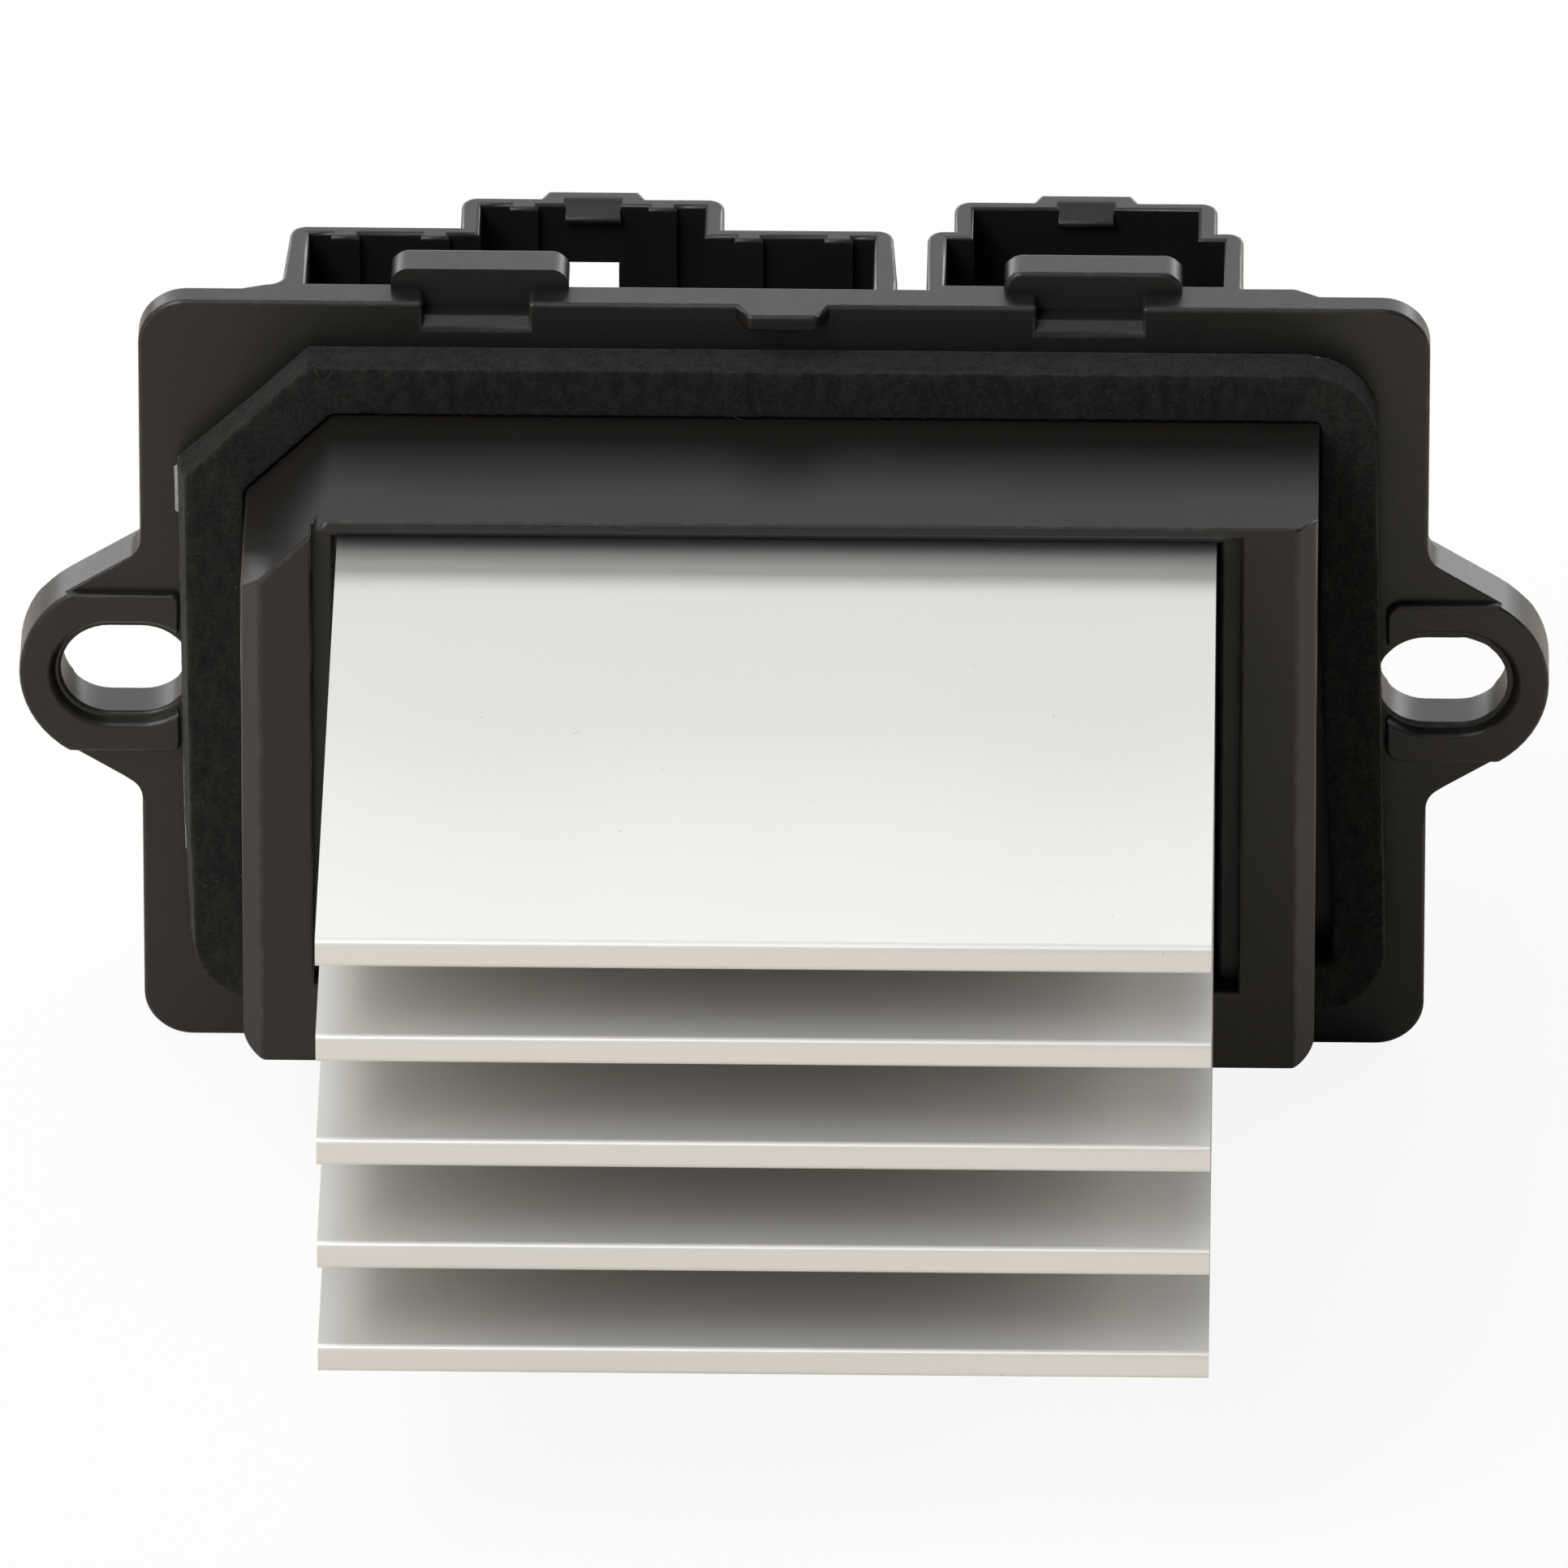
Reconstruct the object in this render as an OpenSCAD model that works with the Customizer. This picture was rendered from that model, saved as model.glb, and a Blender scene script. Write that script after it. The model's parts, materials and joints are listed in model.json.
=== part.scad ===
// Blower motor resistor module: a moulded housing with a mounting flange and two slotted ears,
// a finned heat sink in front, two plug sockets on top and a closed electronics box behind.
// Frame: X runs along the two mounting slots, Y points away from the fins, Z is up.
// The origin is the middle of the flange's front face, between the two slots.

/* [Flange] */
// Width of the flange plate without its ears
flange_w = 92.8; // [90:0.1:96]
// Height of the flange plate
flange_h = 61; // [59:0.1:66]
// Thickness of the flange plate
flange_t = 2.8; // [2.4:0.1:3.4]
// Corner radius of the flange plate
flange_r = 3.5; // [1:0.1:6]
// Depth of the reliefs behind the two upper corners
relief_d = 0.6; // [0.3:0.1:1]
// Width of the right relief with its ramp, measured in from the flange's right edge
relief_w = 9.7; // [8.6:0.1:10.5]
// Run of the reliefs' ramps
ramp_run = 1.75; // [1:0.05:2.5]
// Extra thickness of the flange behind the right socket, up to that ramp
right_land = 0.5; // [0.2:0.05:0.8]

/* [Ears] */
// Distance between the middles of the two mounting slots
slot_spacing = 95; // [93:0.1:100]
// Length of a mounting slot, end to end
slot_len = 9.4; // [8.6:0.1:10]
// Width of a mounting slot
slot_w = 7.1; // [5:0.1:8]
// Radius of an ear about the middle of its slot
ear_r = 7.7; // [7:0.1:9]
// Thickness of an ear
ear_t = 3.8; // [3.4:0.1:4.5]
// Slope of an ear's straight flanks, in degrees
ear_slope = 32; // [25:1:40]
// Fillet between an ear's flank and the flange's edge
ear_fillet = 1.8; // [0.8:0.1:2.4]
// Height of the seating pad on an ear's front
pad_rise = 0.7; // [0.3:0.1:1.2]
// Width of the seating pad across the slot
pad_w = 13; // [12:0.1:14]
// Bare land between the slot's edge and the seating pad
pad_land = 0.75; // [0.4:0.05:1]
// Corner radius of the right pad's inner ends, twice that of the left pad's
pad_r = 1.2; // [0.5:0.1:2]

/* [Heat sink] */
// Length of the extruded comb along X
sink_w = 62.9; // [58:0.1:64]
// Sideways offset of the comb from the middle of the flange
sink_x = -0.25; // [-1:0.05:1]
// Height of the comb, from the bottom fin's lower face to the top fin's upper face
sink_h = 35.3; // [34:0.1:36]
// Number of fins
fin_count = 5; // [3:1:7]
// Distance from the top fin to the next one, closer than the others
top_pitch = 7.75; // [7:0.05:8.5]
// Thickness of a fin
fin_t = 2.2; // [1.4:0.1:3]
// Edge radius at a fin's tip
fin_r = 0.5; // [0.2:0.05:0.6]
// Fillet at a fin's root
root_r = 0.8; // [0.3:0.1:1.4]
// Reach of the fin tips in front of the flange
fin_reach = 73.5; // [60:0.5:90]
// Height of the top fin's upper face above the slots
sink_top = 20.3; // [18:0.1:21]
// Thickness of the comb's base plate
base_t = 5; // [4.6:0.1:7]

/* [Collar] */
// Reach of the collar in front of the flange
collar_reach = 18.7; // [14:0.1:24]
// Width of the sealing groove around the heat sink
groove_w = 1.75; // [1:0.05:2.2]
// Depth of the sealing groove
groove_d = 2; // [1:0.1:4]
// Rim left above the groove at the top
rim_top = 0.95; // [0.8:0.05:1.6]
// Front face left of the groove
rim_left = 5.2; // [4.8:0.1:5.6]
// Front face right of the groove
rim_right = 5.5; // [4.8:0.1:5.8]
// Wall below the heat sink
rim_bottom = 6.3; // [4.5:0.1:6.8]
// Size of the slanted upper left corner
collar_slant = 6.3; // [4:0.1:8]
// Bevel along the two front side edges
collar_edge = 1.4; // [0.6:0.1:2]
// Radius of the two lower corners
collar_r = 1.8; // [0.8:0.1:3]

/* [Gasket] */
// Thickness of the foam gasket
gasket_t = 3.5; // [2:0.1:6]
// Width of the foam strip on the left
strip_left = 4.6; // [3.5:0.1:4.8]
// Width of the foam strip on the right
strip_right = 3.9; // [3.5:0.1:4.4]
// Width of the foam strip at the top
strip_top = 3.75; // [3:0.05:4.4]
// Width of the foam strip at the bottom
strip_bottom = 4.1; // [3:0.1:4.4]
// Clearance between the foam and the collar
gasket_fit = 0.15; // [0.1:0.05:0.4]
// Outward lean of the hand-laid foam at its lower right corner
gasket_lean = 1.2; // [0:0.1:1.4]
// Radius of the foam's round outer corners
gasket_r = 5; // [3:0.1:6]
// Size of the slanted upper left corner of the foam
gasket_slant = 9.2; // [8:0.1:11]

/* [Hooks] */
// Distance between the middles of the two T hooks on the flange's top edge
hook_spacing = 44.05; // [40:0.05:48]
// Sideways offset of the two hooks
hook_x = 0.15; // [-0.5:0.05:0.5]
// Width of a hook's head
hook_head_w = 12.8; // [10:0.1:15]
// Height of a hook's head above the flange
hook_rise = 1.65; // [1.5:0.05:3]
// Thickness of a hook's head
hook_t = 3; // [2:0.1:3.6]
// Corner radius of a hook's head
hook_r = 1.3; // [0.5:0.1:1.5]
// Width of the notch in front of a hook
notch_w = 7.6; // [5:0.1:9]
// Sideways offset of the two notches and of the nub between them
notch_x = -0.1; // [-0.5:0.05:0.5]
// Depth of that notch into the flange's front
notch_d = 2.1; // [1:0.1:2.2]
// Drop of the notch's lip below the flange's top edge
notch_h = 2.15; // [1.8:0.05:3.5]
// Chamfer on the front edge of the notch's floor
notch_lip = 0.75; // [0.3:0.05:0.9]
// Width of the locating nub where it leaves the flange
nub_w = 6.7; // [5:0.1:10]
// Width of the nub at its tip
nub_tip_w = 4.95; // [3:0.05:5]
// Reach of the nub in front of the flange
nub_reach = 1.6; // [1:0.05:2.5]
// Height of the nub
nub_h = 1.3; // [1:0.1:2.5]

/* [Sockets] */
// Middle of the left socket along X
left_x = -14; // [-14.3:0.05:-13]
// Outer width of the left socket
left_w = 43.45; // [41:0.05:44.5]
// Middle of the right socket along X
right_x = 21.55; // [20.8:0.05:22.5]
// Outer width of the right socket
right_w = 22.75; // [21.5:0.05:23.5]
// Depth of a socket below its rim
socket_depth = 15.45; // [13:0.05:17]
// Reach of a socket's low wings behind the flange
wing_d = 8.55; // [7.8:0.05:9]
// Reach of a socket's middle bay behind the flange
bay_d = 12.95; // [11:0.05:13.5]
// Outer width of the middle bay
bay_w = 18.95; // [17:0.05:20]
// Side walls of a socket
socket_wall = 1.4; // [1.1:0.05:1.6]
// Back walls of a socket
back_wall = 1.1; // [0.9:0.05:1.4]
// Outer corner radius of a socket
socket_r = 1.2; // [0.3:0.05:1.3]
// Flare of the left socket's end walls towards the flange
socket_flare = 0.35; // [0.1:0.05:0.5]
// Fillet where the left socket's left wall meets the flange
socket_fillet = 1.2; // [0.6:0.1:1.6]
// Width of the thickened back behind the latch catch
bump_w = 6.55; // [6:0.05:8]
// Extra thickness there
bump_d = 1.05; // [0.6:0.05:1.6]
// Width of the latch catch
catch_w = 4; // [3:0.1:5]
// Reach of the catch into the socket
catch_reach = 0.7; // [0.3:0.05:1]
// Depth of the catch's edge below the rim
catch_drop = 0.8; // [0.6:0.05:2]
// Reach of the catch's lead-in into the rim of the back wall
catch_lead = 0.95; // [0.5:0.05:1.1]
// Width of the window below the catch
window_w = 3.7; // [2.5:0.1:4]
// Depth of the window's upper edge below the rim
window_drop = 4.85; // [4:0.05:6]
// Height of the window
window_h = 7.5; // [4:0.1:8]
// Width of a guide rib in the left socket
rib_w = 2.1; // [1:0.1:2.6]
// Height of a guide rib
rib_rise = 0.55; // [0.3:0.05:0.8]
// Distance of the bay's ribs from the socket's middle
rib_bay = 5; // [4:0.05:6]
// Distance of the wings' inner ribs from the socket's middle
rib_near = 11.3; // [10.5:0.05:12.5]
// Distance of the wings' outer ribs from the socket's middle
rib_far = 17.75; // [16:0.05:18.5]

/* [Electronics box] */
// Outer width of the box behind the flange
box_w = 78; // [76:0.5:82]
// Depth of the box behind the flange
box_d = 18; // [17.5:0.5:24]
// Bottom of the box below the slots
box_drop = 25; // [24:0.5:28]
// Wall of the box
box_wall = 1.8; // [1.4:0.1:2]
// Floor between the sockets and the box
floor_t = 1.8; // [1.4:0.1:2.4]
// Outer corner radius of the box
box_r = 2; // [0.5:0.1:2.4]
// Radius of the screw bosses in the box's corners
boss_r = 2.8; // [2.6:0.1:3.2]
// Overlap of a boss with the walls beside it
boss_merge = 0.4; // [0.2:0.05:0.6]
// Width of the window in the flange for the power transistors
hatch_w = 46; // [42:0.5:47]
// Height of that window
hatch_h = 22; // [21:0.5:24]

/* [Rear cover] */
// Thickness of the rear cover
cover_t = 2.2; // [1.6:0.1:3]
// Depth of the cover's locating rails inside the box
rail_d = 1.6; // [1:0.1:2]
// Thickness of those rails
rail_t = 1.2; // [0.8:0.1:1.6]
// Clearance between the rails and the box
rail_fit = 0.2; // [0.1:0.05:0.3]
// Step of the raised panel on the cover's outside
panel_rise = 0.6; // [0.3:0.1:1]
// Plain border around that panel
panel_border = 7; // [6.5:0.1:9]

/* [Screws] */
// Shank diameter of the screws
screw_d = 2.9; // [2.4:0.1:3]
// Head diameter of the screws
screw_head_d = 5.2; // [4.6:0.1:5.4]
// Head height of the screws
screw_head_h = 1.8; // [1.4:0.1:2]
// Radial clearance of a screw in the hole it bites into
screw_fit = 0.05; // [0.03:0.01:0.1]
// Radial clearance of a screw in the hole it passes through
screw_pass = 0.15; // [0.1:0.01:0.25]
// Bite of a screw into what it is driven into
screw_bite = 3.6; // [3:0.1:4]
// Width of the cross recess in a head
recess_w = 0.9; // [0.6:0.1:1.2]
// Length of the cross recess in a head
recess_len = 2.8; // [2:0.1:3.4]
// Depth of the cross recess
recess_d = 0.9; // [0.5:0.1:1.1]

/* [Circuit board] */
// Gap between the flange's back and the board
board_lift = 5; // [4.8:0.1:5.6]
// Thickness of the board
board_t = 1.6; // [1:0.1:2]
// Gap between the board's edges and the box
board_gap = 0.6; // [0.4:0.1:0.8]
// Clearance of a soldered lead in its hole
lead_fit = 0.1; // [0.05:0.05:0.15]
// Length of a soldered lead behind the board
lead_tail = 1; // [0.6:0.1:1.4]
// Distance of the posts' middles from the board's ends
post_inset = 2.9; // [2.5:0.1:4]
// Radius of those posts
post_r = 2.4; // [2.2:0.1:2.6]

/* [Power transistors] */
// Distance between the middles of the two transistors
transistor_spacing = 24; // [20:0.5:28]
// Width of a transistor
transistor_w = 10.2; // [10:0.1:10.6]
// Height of its plastic body
transistor_h = 9.2; // [8.8:0.1:9.6]
// Thickness of its plastic body
transistor_t = 4.5; // [4.2:0.1:4.7]
// Height of its metal tab above the body
tab_h = 6.3; // [6:0.1:6.6]
// Thickness of the metal tab
tab_t = 1.3; // [1.1:0.1:1.4]
// Thickness of the thermal pad under it
pad_t = 0.3; // [0.2:0.05:0.5]
// Border of the thermal pad around the transistor
pad_border = 0.8; // [0.4:0.1:1]
// Distance between two leads
lead_pitch = 2.54; // [2.5:0.01:2.6]
// Width of a lead
lead_w = 0.8; // [0.6:0.05:0.9]
// Thickness of a lead
lead_t = 0.5; // [0.4:0.05:0.6]
// Straight run of a lead below the body
lead_run = 2.4; // [2:0.1:2.6]

/* [Terminals] */
// Width of a power blade
blade_w = 6.3; // [5.5:0.1:6.6]
// Thickness of a blade
blade_t = 0.8; // [0.6:0.05:0.9]
// Distance of a blade's tip below the socket's rim
blade_recess = 6.5; // [5.8:0.1:8]
// Bevel on a blade's tip
blade_tip = 1; // [0.5:0.1:1.5]
// Distance between the two power blades in the left socket
supply_pitch = 25; // [23:0.1:27]
// Distance between the two power blades in the right socket
motor_pitch = 10.4; // [9.5:0.1:11]
// Distance between the signal pins in the left socket
signal_pitch = 4.15; // [3.5:0.05:5]
// Width of a signal pin
signal_w = 1.5; // [1:0.1:1.8]
// Number of signal pins
signal_count = 3; // [1:1:3]
// Width of a blade's solder tail
tail_w = 2.4; // [2:0.1:3]
// Distance of the solder tails below the board's upper edge
tail_drop = 3.6; // [3:0.1:4]

/* [Board parts] */
// Diameter of the filter capacitor
capacitor_d = 8; // [6:0.5:8.5]
// Length of the filter capacitor
capacitor_len = 16; // [12:0.5:18]
// Diameter of the capacitor's and the diode's leads
wire_d = 0.8; // [0.6:0.05:0.9]
// Spacing of the capacitor's two leads
capacitor_pitch = 3.5; // [2.5:0.1:4.5]
// Diameter of the choke's ferrite rod
choke_rod_d = 5; // [4:0.1:5.4]
// Length of the choke's ferrite rod
choke_len = 18; // [16:0.5:19]
// Diameter of the choke's winding wire
choke_wire_d = 1.2; // [0.8:0.1:1.4]
// Turns of the choke's winding
choke_turns = 10; // [6:1:12]
// Length of the shunt strap
shunt_len = 12; // [9:0.5:14]
// Width of the shunt strap
shunt_w = 4; // [3:0.1:5]
// Thickness of the shunt strap
shunt_t = 1; // [0.6:0.1:1.2]
// Height of the shunt strap above the board
shunt_h = 4.5; // [3:0.1:6]
// Length of the control chip
chip_len = 8.7; // [8.7:0.1:10]
// Width of the control chip
chip_w = 3.9; // [3.6:0.1:4.2]
// Height of the control chip
chip_h = 1.5; // [1.2:0.1:1.8]
// Leads on each side of the control chip
chip_leads_per_side = 7; // [4:1:7]
// Distance between two leads of the control chip
chip_pitch = 1.27; // [1:0.01:1.3]
// Diameter of the surge diode
diode_d = 5; // [4:0.1:5.4]
// Length of the surge diode's body
diode_len = 8; // [6:0.5:9]
// Number of chip resistors
resistor_count = 6; // [1:1:6]
// Number of ceramic capacitors
ceramic_count = 4; // [1:1:4]

/* [Hidden] */
$fn = 48;

// Overshoot that lets a cut pass cleanly through a face
cut = 1;
// Running clearance of the heat sink in the collar
sink_fit = 0.3;
// Gap left where a soft or formed piece lies beside its seat
seat_gap = 0.05;

// Flange and ears
half_w = flange_w / 2;
top_z = flange_h / 2;
slot_x = slot_spacing / 2;
flank_x = slot_x + ear_r * sin(ear_slope);
flank_z = ear_r * cos(ear_slope);
ear_root_z = flank_z + (flank_x - half_w) * tan(ear_slope);

// Heat sink and collar
fin_pitch = (sink_h - fin_t - top_pitch) / (fin_count - 2);
sink_bottom = sink_top - sink_h;
fins = [for (i = [0 : fin_count - 2]) sink_bottom + i * fin_pitch, sink_top - fin_t];
sink_mid = sink_top - sink_h / 2;
sink_left = sink_x - sink_w / 2;
sink_right = sink_x + sink_w / 2;
collar_left = sink_left - groove_w - rim_left;
collar_right = sink_right + groove_w + rim_right;
collar_top = sink_top + groove_w + rim_top;
collar_bottom = sink_bottom - sink_fit - rim_bottom;

// Gasket outline, with its lean at the lower right corner
gasket_left = collar_left - gasket_fit - strip_left;
gasket_right = collar_right + gasket_fit + strip_right;
gasket_high = collar_top + gasket_fit + strip_top;
gasket_low = collar_bottom - gasket_fit - strip_bottom;
lean_at_pad = gasket_lean * (gasket_high + pad_w / 2) / (gasket_high - gasket_low);
pad_inner = [gasket_right + lean_at_pad + gasket_fit, gasket_fit - gasket_left];
pad_corner = [pad_r, pad_r / 2];

// Sockets and electronics box
right_ramp = half_w - relief_w;
left_end = left_x - left_w / 2 - socket_flare;
left_ramp = left_end - socket_fillet;
floor_z = top_z - socket_depth;
cavity_top = floor_z - floor_t;
cavity_bottom = -box_drop + box_wall;
cavity_half = box_w / 2 - box_wall;
box_back = flange_t + box_d;
boss_x = cavity_half - boss_r + boss_merge;
boss_high = cavity_top - boss_r + boss_merge;
boss_low = cavity_bottom + boss_r - boss_merge;
blade_y = flange_t + (wing_d - back_wall) / 2;

// Circuit board
board_front = flange_t + board_lift;
board_back = board_front + board_t;
board_half = boss_x - boss_r - board_gap;
board_high = cavity_top - board_gap;
board_low = cavity_bottom + board_gap;
tail_z = board_high - tail_drop;

// Power transistors, hung by their tabs in the flange's hatch
hatch_margin = 0.6;
hatch_drop = 4;
hatch_high = sink_mid + hatch_h / 2 - hatch_drop;
transistor_top = hatch_high - hatch_margin - pad_border;
body_top = transistor_top - tab_h;
body_bottom = body_top - transistor_h;
tab_screw_z = transistor_top - tab_h / 2;
lead_y = pad_t + transistor_t / 2;
lead_bend_z = body_bottom - lead_run;

// Screw holes, and the screws that hold the heat sink above and below the board's posts
bite_r = screw_d / 2 + screw_fit;
pass_r = screw_d / 2 + screw_pass;
post_drop = 6.3;
post_z = sink_mid - post_drop;
screw_step = 7.4;
post_x = board_half - post_inset;
sink_screw_inset = 4;
sink_screws = [for (x = [sink_left + sink_screw_inset, sink_right - sink_screw_inset],
                    z = [-screw_step, screw_step]) [x, post_z + z]];

// Columns of parts on the board's rear face, and the rows below the terminals' tails
end_gap = 10;
left_column = -board_half + end_gap + chip_len / 2;
right_column = board_half - end_gap - shunt_len / 2;
row_gap = 2;
row_top = tail_z - blade_t / 2 - row_gap;
low_row_z = (lead_bend_z - lead_t + board_low) / 2;
wire_run = 2;
capacitor_y = board_back + capacitor_d / 2 + seat_gap;
capacitor_end = left_column + capacitor_len / 2;
capacitor_wire_x = capacitor_end + wire_run;
choke_coil_r = choke_rod_d / 2 + seat_gap + choke_wire_d;
choke_y = board_back + choke_coil_r + seat_gap;
coil_merge = 0.1;
wire_sides = 8;
coil_step = choke_wire_d - coil_merge;
coil_half = (choke_turns - 1) * coil_step / 2;
shunt_z = row_top - shunt_w / 2;
chip_lift = 0.15;
gull_t = 0.2;
gull_w = 0.4;
gull_out = 1.05;
chip_z = row_top - gull_out - seat_gap - chip_w / 2;
diode_x = sink_x;
diode_span = diode_len + 2 * wire_run;
diode_z = row_top - wire_d / 2 - diode_span / 2;
chip_part = [1.25, 0.6, 2];
ceramic_part = [1.6, 1.25, 2.6];
part_step = 3;
resistor_z = chip_z - chip_w / 2 - seat_gap - gull_out - row_gap - chip_part.z / 2;
ceramic_z = shunt_z - shunt_w / 2 - row_gap - ceramic_part.z / 2;

// Moves a flat XZ outline into the model and gives it depth from y0 to y1
module along_y(y0, y1) {
    translate([0, y1, 0]) rotate([90, 0, 0]) linear_extrude(y1 - y0) children();
}

// Moves a flat YZ outline into the model and gives it length from x0 to x1
module along_x(x0, x1) {
    translate([x0, 0, 0]) rotate([90, 0, 90]) linear_extrude(x1 - x0) children();
}

// Gives a flat XY outline height from z0 to z1
module along_z(z0, z1) {
    translate([0, 0, z0]) linear_extrude(z1 - z0) children();
}

// Upright rectangle between two corners
module span(a, b) {
    translate(a) square(b - a);
}

// Rectangle between two corners with all four corners round
module round_span(a, b, r) {
    span([a.x + r, a.y], [b.x - r, b.y]);
    span([a.x, a.y + r], [b.x, b.y - r]);
    for (x = [a.x + r, b.x - r], y = [a.y + r, b.y - r])
        translate([x, y]) circle(r);
}

// Round-ended slot, centred, running along the first axis
module obround(len, w) {
    span([-(len - w) / 2, -w / 2], [(len - w) / 2, w / 2]);
    for (side = [-1, 1])
        translate([side * (len - w) / 2, 0]) circle(w / 2);
}

// Cylinder along Y from y0 to y1 at (x, z)
module pin_y(x, z, r, y0, y1) {
    translate([x, y1, z]) rotate([90, 0, 0]) cylinder(r = r, h = y1 - y0);
}

// Points of one rounded corner: an arc that is tangent to both sides
function unit(v) = v / norm(v);
function corner(a, p, b, r, steps) =
    let (u = unit(a - p), v = unit(b - p), half = acos(u * v) / 2,
         c = p + unit(u + v) * r / sin(half), from = p + u * r / tan(half) - c,
         to = p + v * r / tan(half) - c)
    r == 0 ? [p] : [for (i = [0 : steps]) c + r * unit(from * (steps - i) + to * i)];

// Outline through corner points, each rounded with its own radius
function rounded(points, radii, steps = 8) =
    let (n = len(points))
    [for (i = [0 : n - 1])
        each corner(points[(i + n - 1) % n], points[i], points[(i + 1) % n], radii[i], steps)];

// Ear on the right, drawn flat: a disc about the slot with two straight flanks
module ear_outline() {
    inside_x = half_w - ear_fillet;
    translate([slot_x, 0]) circle(ear_r);
    polygon([[flank_x, flank_z], [half_w, ear_root_z], [inside_x, ear_root_z],
             [inside_x, -ear_root_z], [half_w, -ear_root_z], [flank_x, -flank_z]]);
}

// Fillets between that ear's flanks and the flange's edge
module ear_fillets() {
    root = [half_w, ear_root_z];
    half_angle = (90 + ear_slope) / 2;
    run = ear_fillet / tan(half_angle);
    flank = [cos(ear_slope), -sin(ear_slope)];
    fillet_mid = root + unit([0, 1] + flank) * ear_fillet / sin(half_angle);
    inside_x = half_w - ear_fillet;
    for (side = [0, 1]) mirror([0, side]) difference() {
        polygon([root + [0, run], root + flank * run,
                 [inside_x, root.y - run - ear_fillet], [inside_x, root.y + run]]);
        translate(fillet_mid) circle(ear_fillet);
    }
}

// Raised seat on an ear's front, with straight ends beside the foam
module ear_pad(inner, r) {
    along_y(-pad_rise, 0) difference() {
        intersection() {
            translate([slot_x, 0]) circle(ear_r);
            round_span([inner, -pad_w / 2], [slot_x + 2 * ear_r, pad_w / 2], r);
        }
        translate([slot_x, 0]) obround(slot_len + 2 * pad_land, slot_w + 2 * pad_land);
    }
}

// Collar's outline: a box with round lower corners and one slanted upper corner
module collar_outline() {
    difference() {
        union() {
            round_span([collar_left, collar_bottom], [collar_right, collar_top], collar_r);
            span([collar_left, collar_top - collar_slant - cut], [collar_right, collar_top]);
        }
        polygon([[collar_left - cut, collar_top - collar_slant - cut],
                 [collar_left - cut, collar_top + cut],
                 [collar_left + collar_slant + cut, collar_top + cut]]);
    }
}

// Bevel cut along one front side edge of the collar
module collar_edge_cut() {
    along_z(collar_bottom - cut, collar_top + cut)
        polygon([[collar_left - cut, -collar_reach - cut],
                 [collar_left + collar_edge + cut, -collar_reach - cut],
                 [collar_left - cut, -collar_reach + collar_edge + cut]]);
}

module collar() {
    difference() {
        along_y(-collar_reach, flange_t / 2) collar_outline();
        collar_edge_cut();
        translate([collar_left + collar_right, 0, 0]) mirror([1, 0, 0]) collar_edge_cut();
    }
}

// Plan of a socket behind the flange: two low wings with flared ends, and a deeper middle bay
module socket_plan(w, flare) {
    foot_y = flange_t / 2;
    bend_y = flange_t + socket_fillet;
    intersection() {
        for (size = [[w, wing_d], [bay_w, bay_d]])
            round_span([-size.x / 2, foot_y - 2 * socket_r], [size.x / 2, flange_t + size.y], socket_r);
        span([-w, foot_y], [w, 2 * box_d]);
    }
    polygon([[-w / 2, flange_t + wing_d - socket_r], [w / 2, flange_t + wing_d - socket_r],
             [w / 2 + flare, bend_y], [w / 2 + flare, foot_y],
             [-w / 2 - flare, foot_y], [-w / 2 - flare, bend_y]]);
}

// Thickened back of a socket behind its latch catch
module socket_bump() {
    back_y = flange_t + bay_d;
    root_x = (bump_w + bump_d) / 2;
    polygon([[-root_x, back_y], [-bump_w / 2, back_y + bump_d], [bump_w / 2, back_y + bump_d],
             [root_x, back_y], [bump_w / 2, back_y - back_wall / 2],
             [-bump_w / 2, back_y - back_wall / 2]]);
}

module socket_shell(x, w, flare) {
    translate([x, 0, 0]) along_z(floor_z - floor_t / 2, top_z) {
        socket_plan(w, flare);
        socket_bump();
    }
}

// Fillet along the left socket's left wall, where it meets the flange
module left_socket_fillet() {
    along_z(floor_z - floor_t / 2, top_z) difference() {
        span([left_ramp, flange_t / 2], [left_end + socket_flare, flange_t + socket_fillet]);
        translate([left_ramp, flange_t + socket_fillet]) circle(socket_fillet);
    }
}

// Room inside a socket behind front_y, the window below its catch and the catch's lead-in
module socket_room(x, w, front_y) {
    wall_y = flange_t + bay_d - back_wall;
    translate([x, 0, 0]) {
        along_z(floor_z, top_z + cut)
            for (size = [[w, wing_d], [bay_w, bay_d]])
                span([-size.x / 2 + socket_wall, front_y],
                     [size.x / 2 - socket_wall, flange_t + size.y - back_wall]);
        along_x(-window_w / 2, window_w / 2)
            span([wall_y - cut, top_z - window_drop - window_h],
                 [flange_t + bay_d + bump_d + cut, top_z - window_drop]);
        along_x(-catch_w / 2, catch_w / 2)
            polygon([[wall_y - cut, top_z + cut], [wall_y + catch_lead, top_z + cut],
                     [wall_y + catch_lead, top_z], [wall_y, top_z - catch_drop / 2],
                     [wall_y - cut, top_z - catch_drop / 2]]);
    }
}

// Nose that the plug's latch snaps under
module latch_catch(x) {
    wall_y = flange_t + bay_d - back_wall;
    root_y = wall_y + back_wall / 2;
    nose_y = wall_y - catch_reach;
    edge = top_z - catch_drop;
    step = catch_drop / 2;
    translate([x, 0, 0]) along_x(-catch_w / 2, catch_w / 2)
        polygon([[root_y, edge + step], [wall_y, edge + step], [nose_y, edge],
                 [nose_y, edge - step], [wall_y, edge - 2 * step], [root_y, edge - 2 * step]]);
}

// Guide rib on a socket's back wall, whose inner face lies at wall_y
module guide_rib(x, wall_y) {
    along_z(floor_z - floor_t / 2, top_z)
        span([x - rib_w / 2, wall_y - rib_rise], [x + rib_w / 2, wall_y + back_wall / 2]);
}

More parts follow.
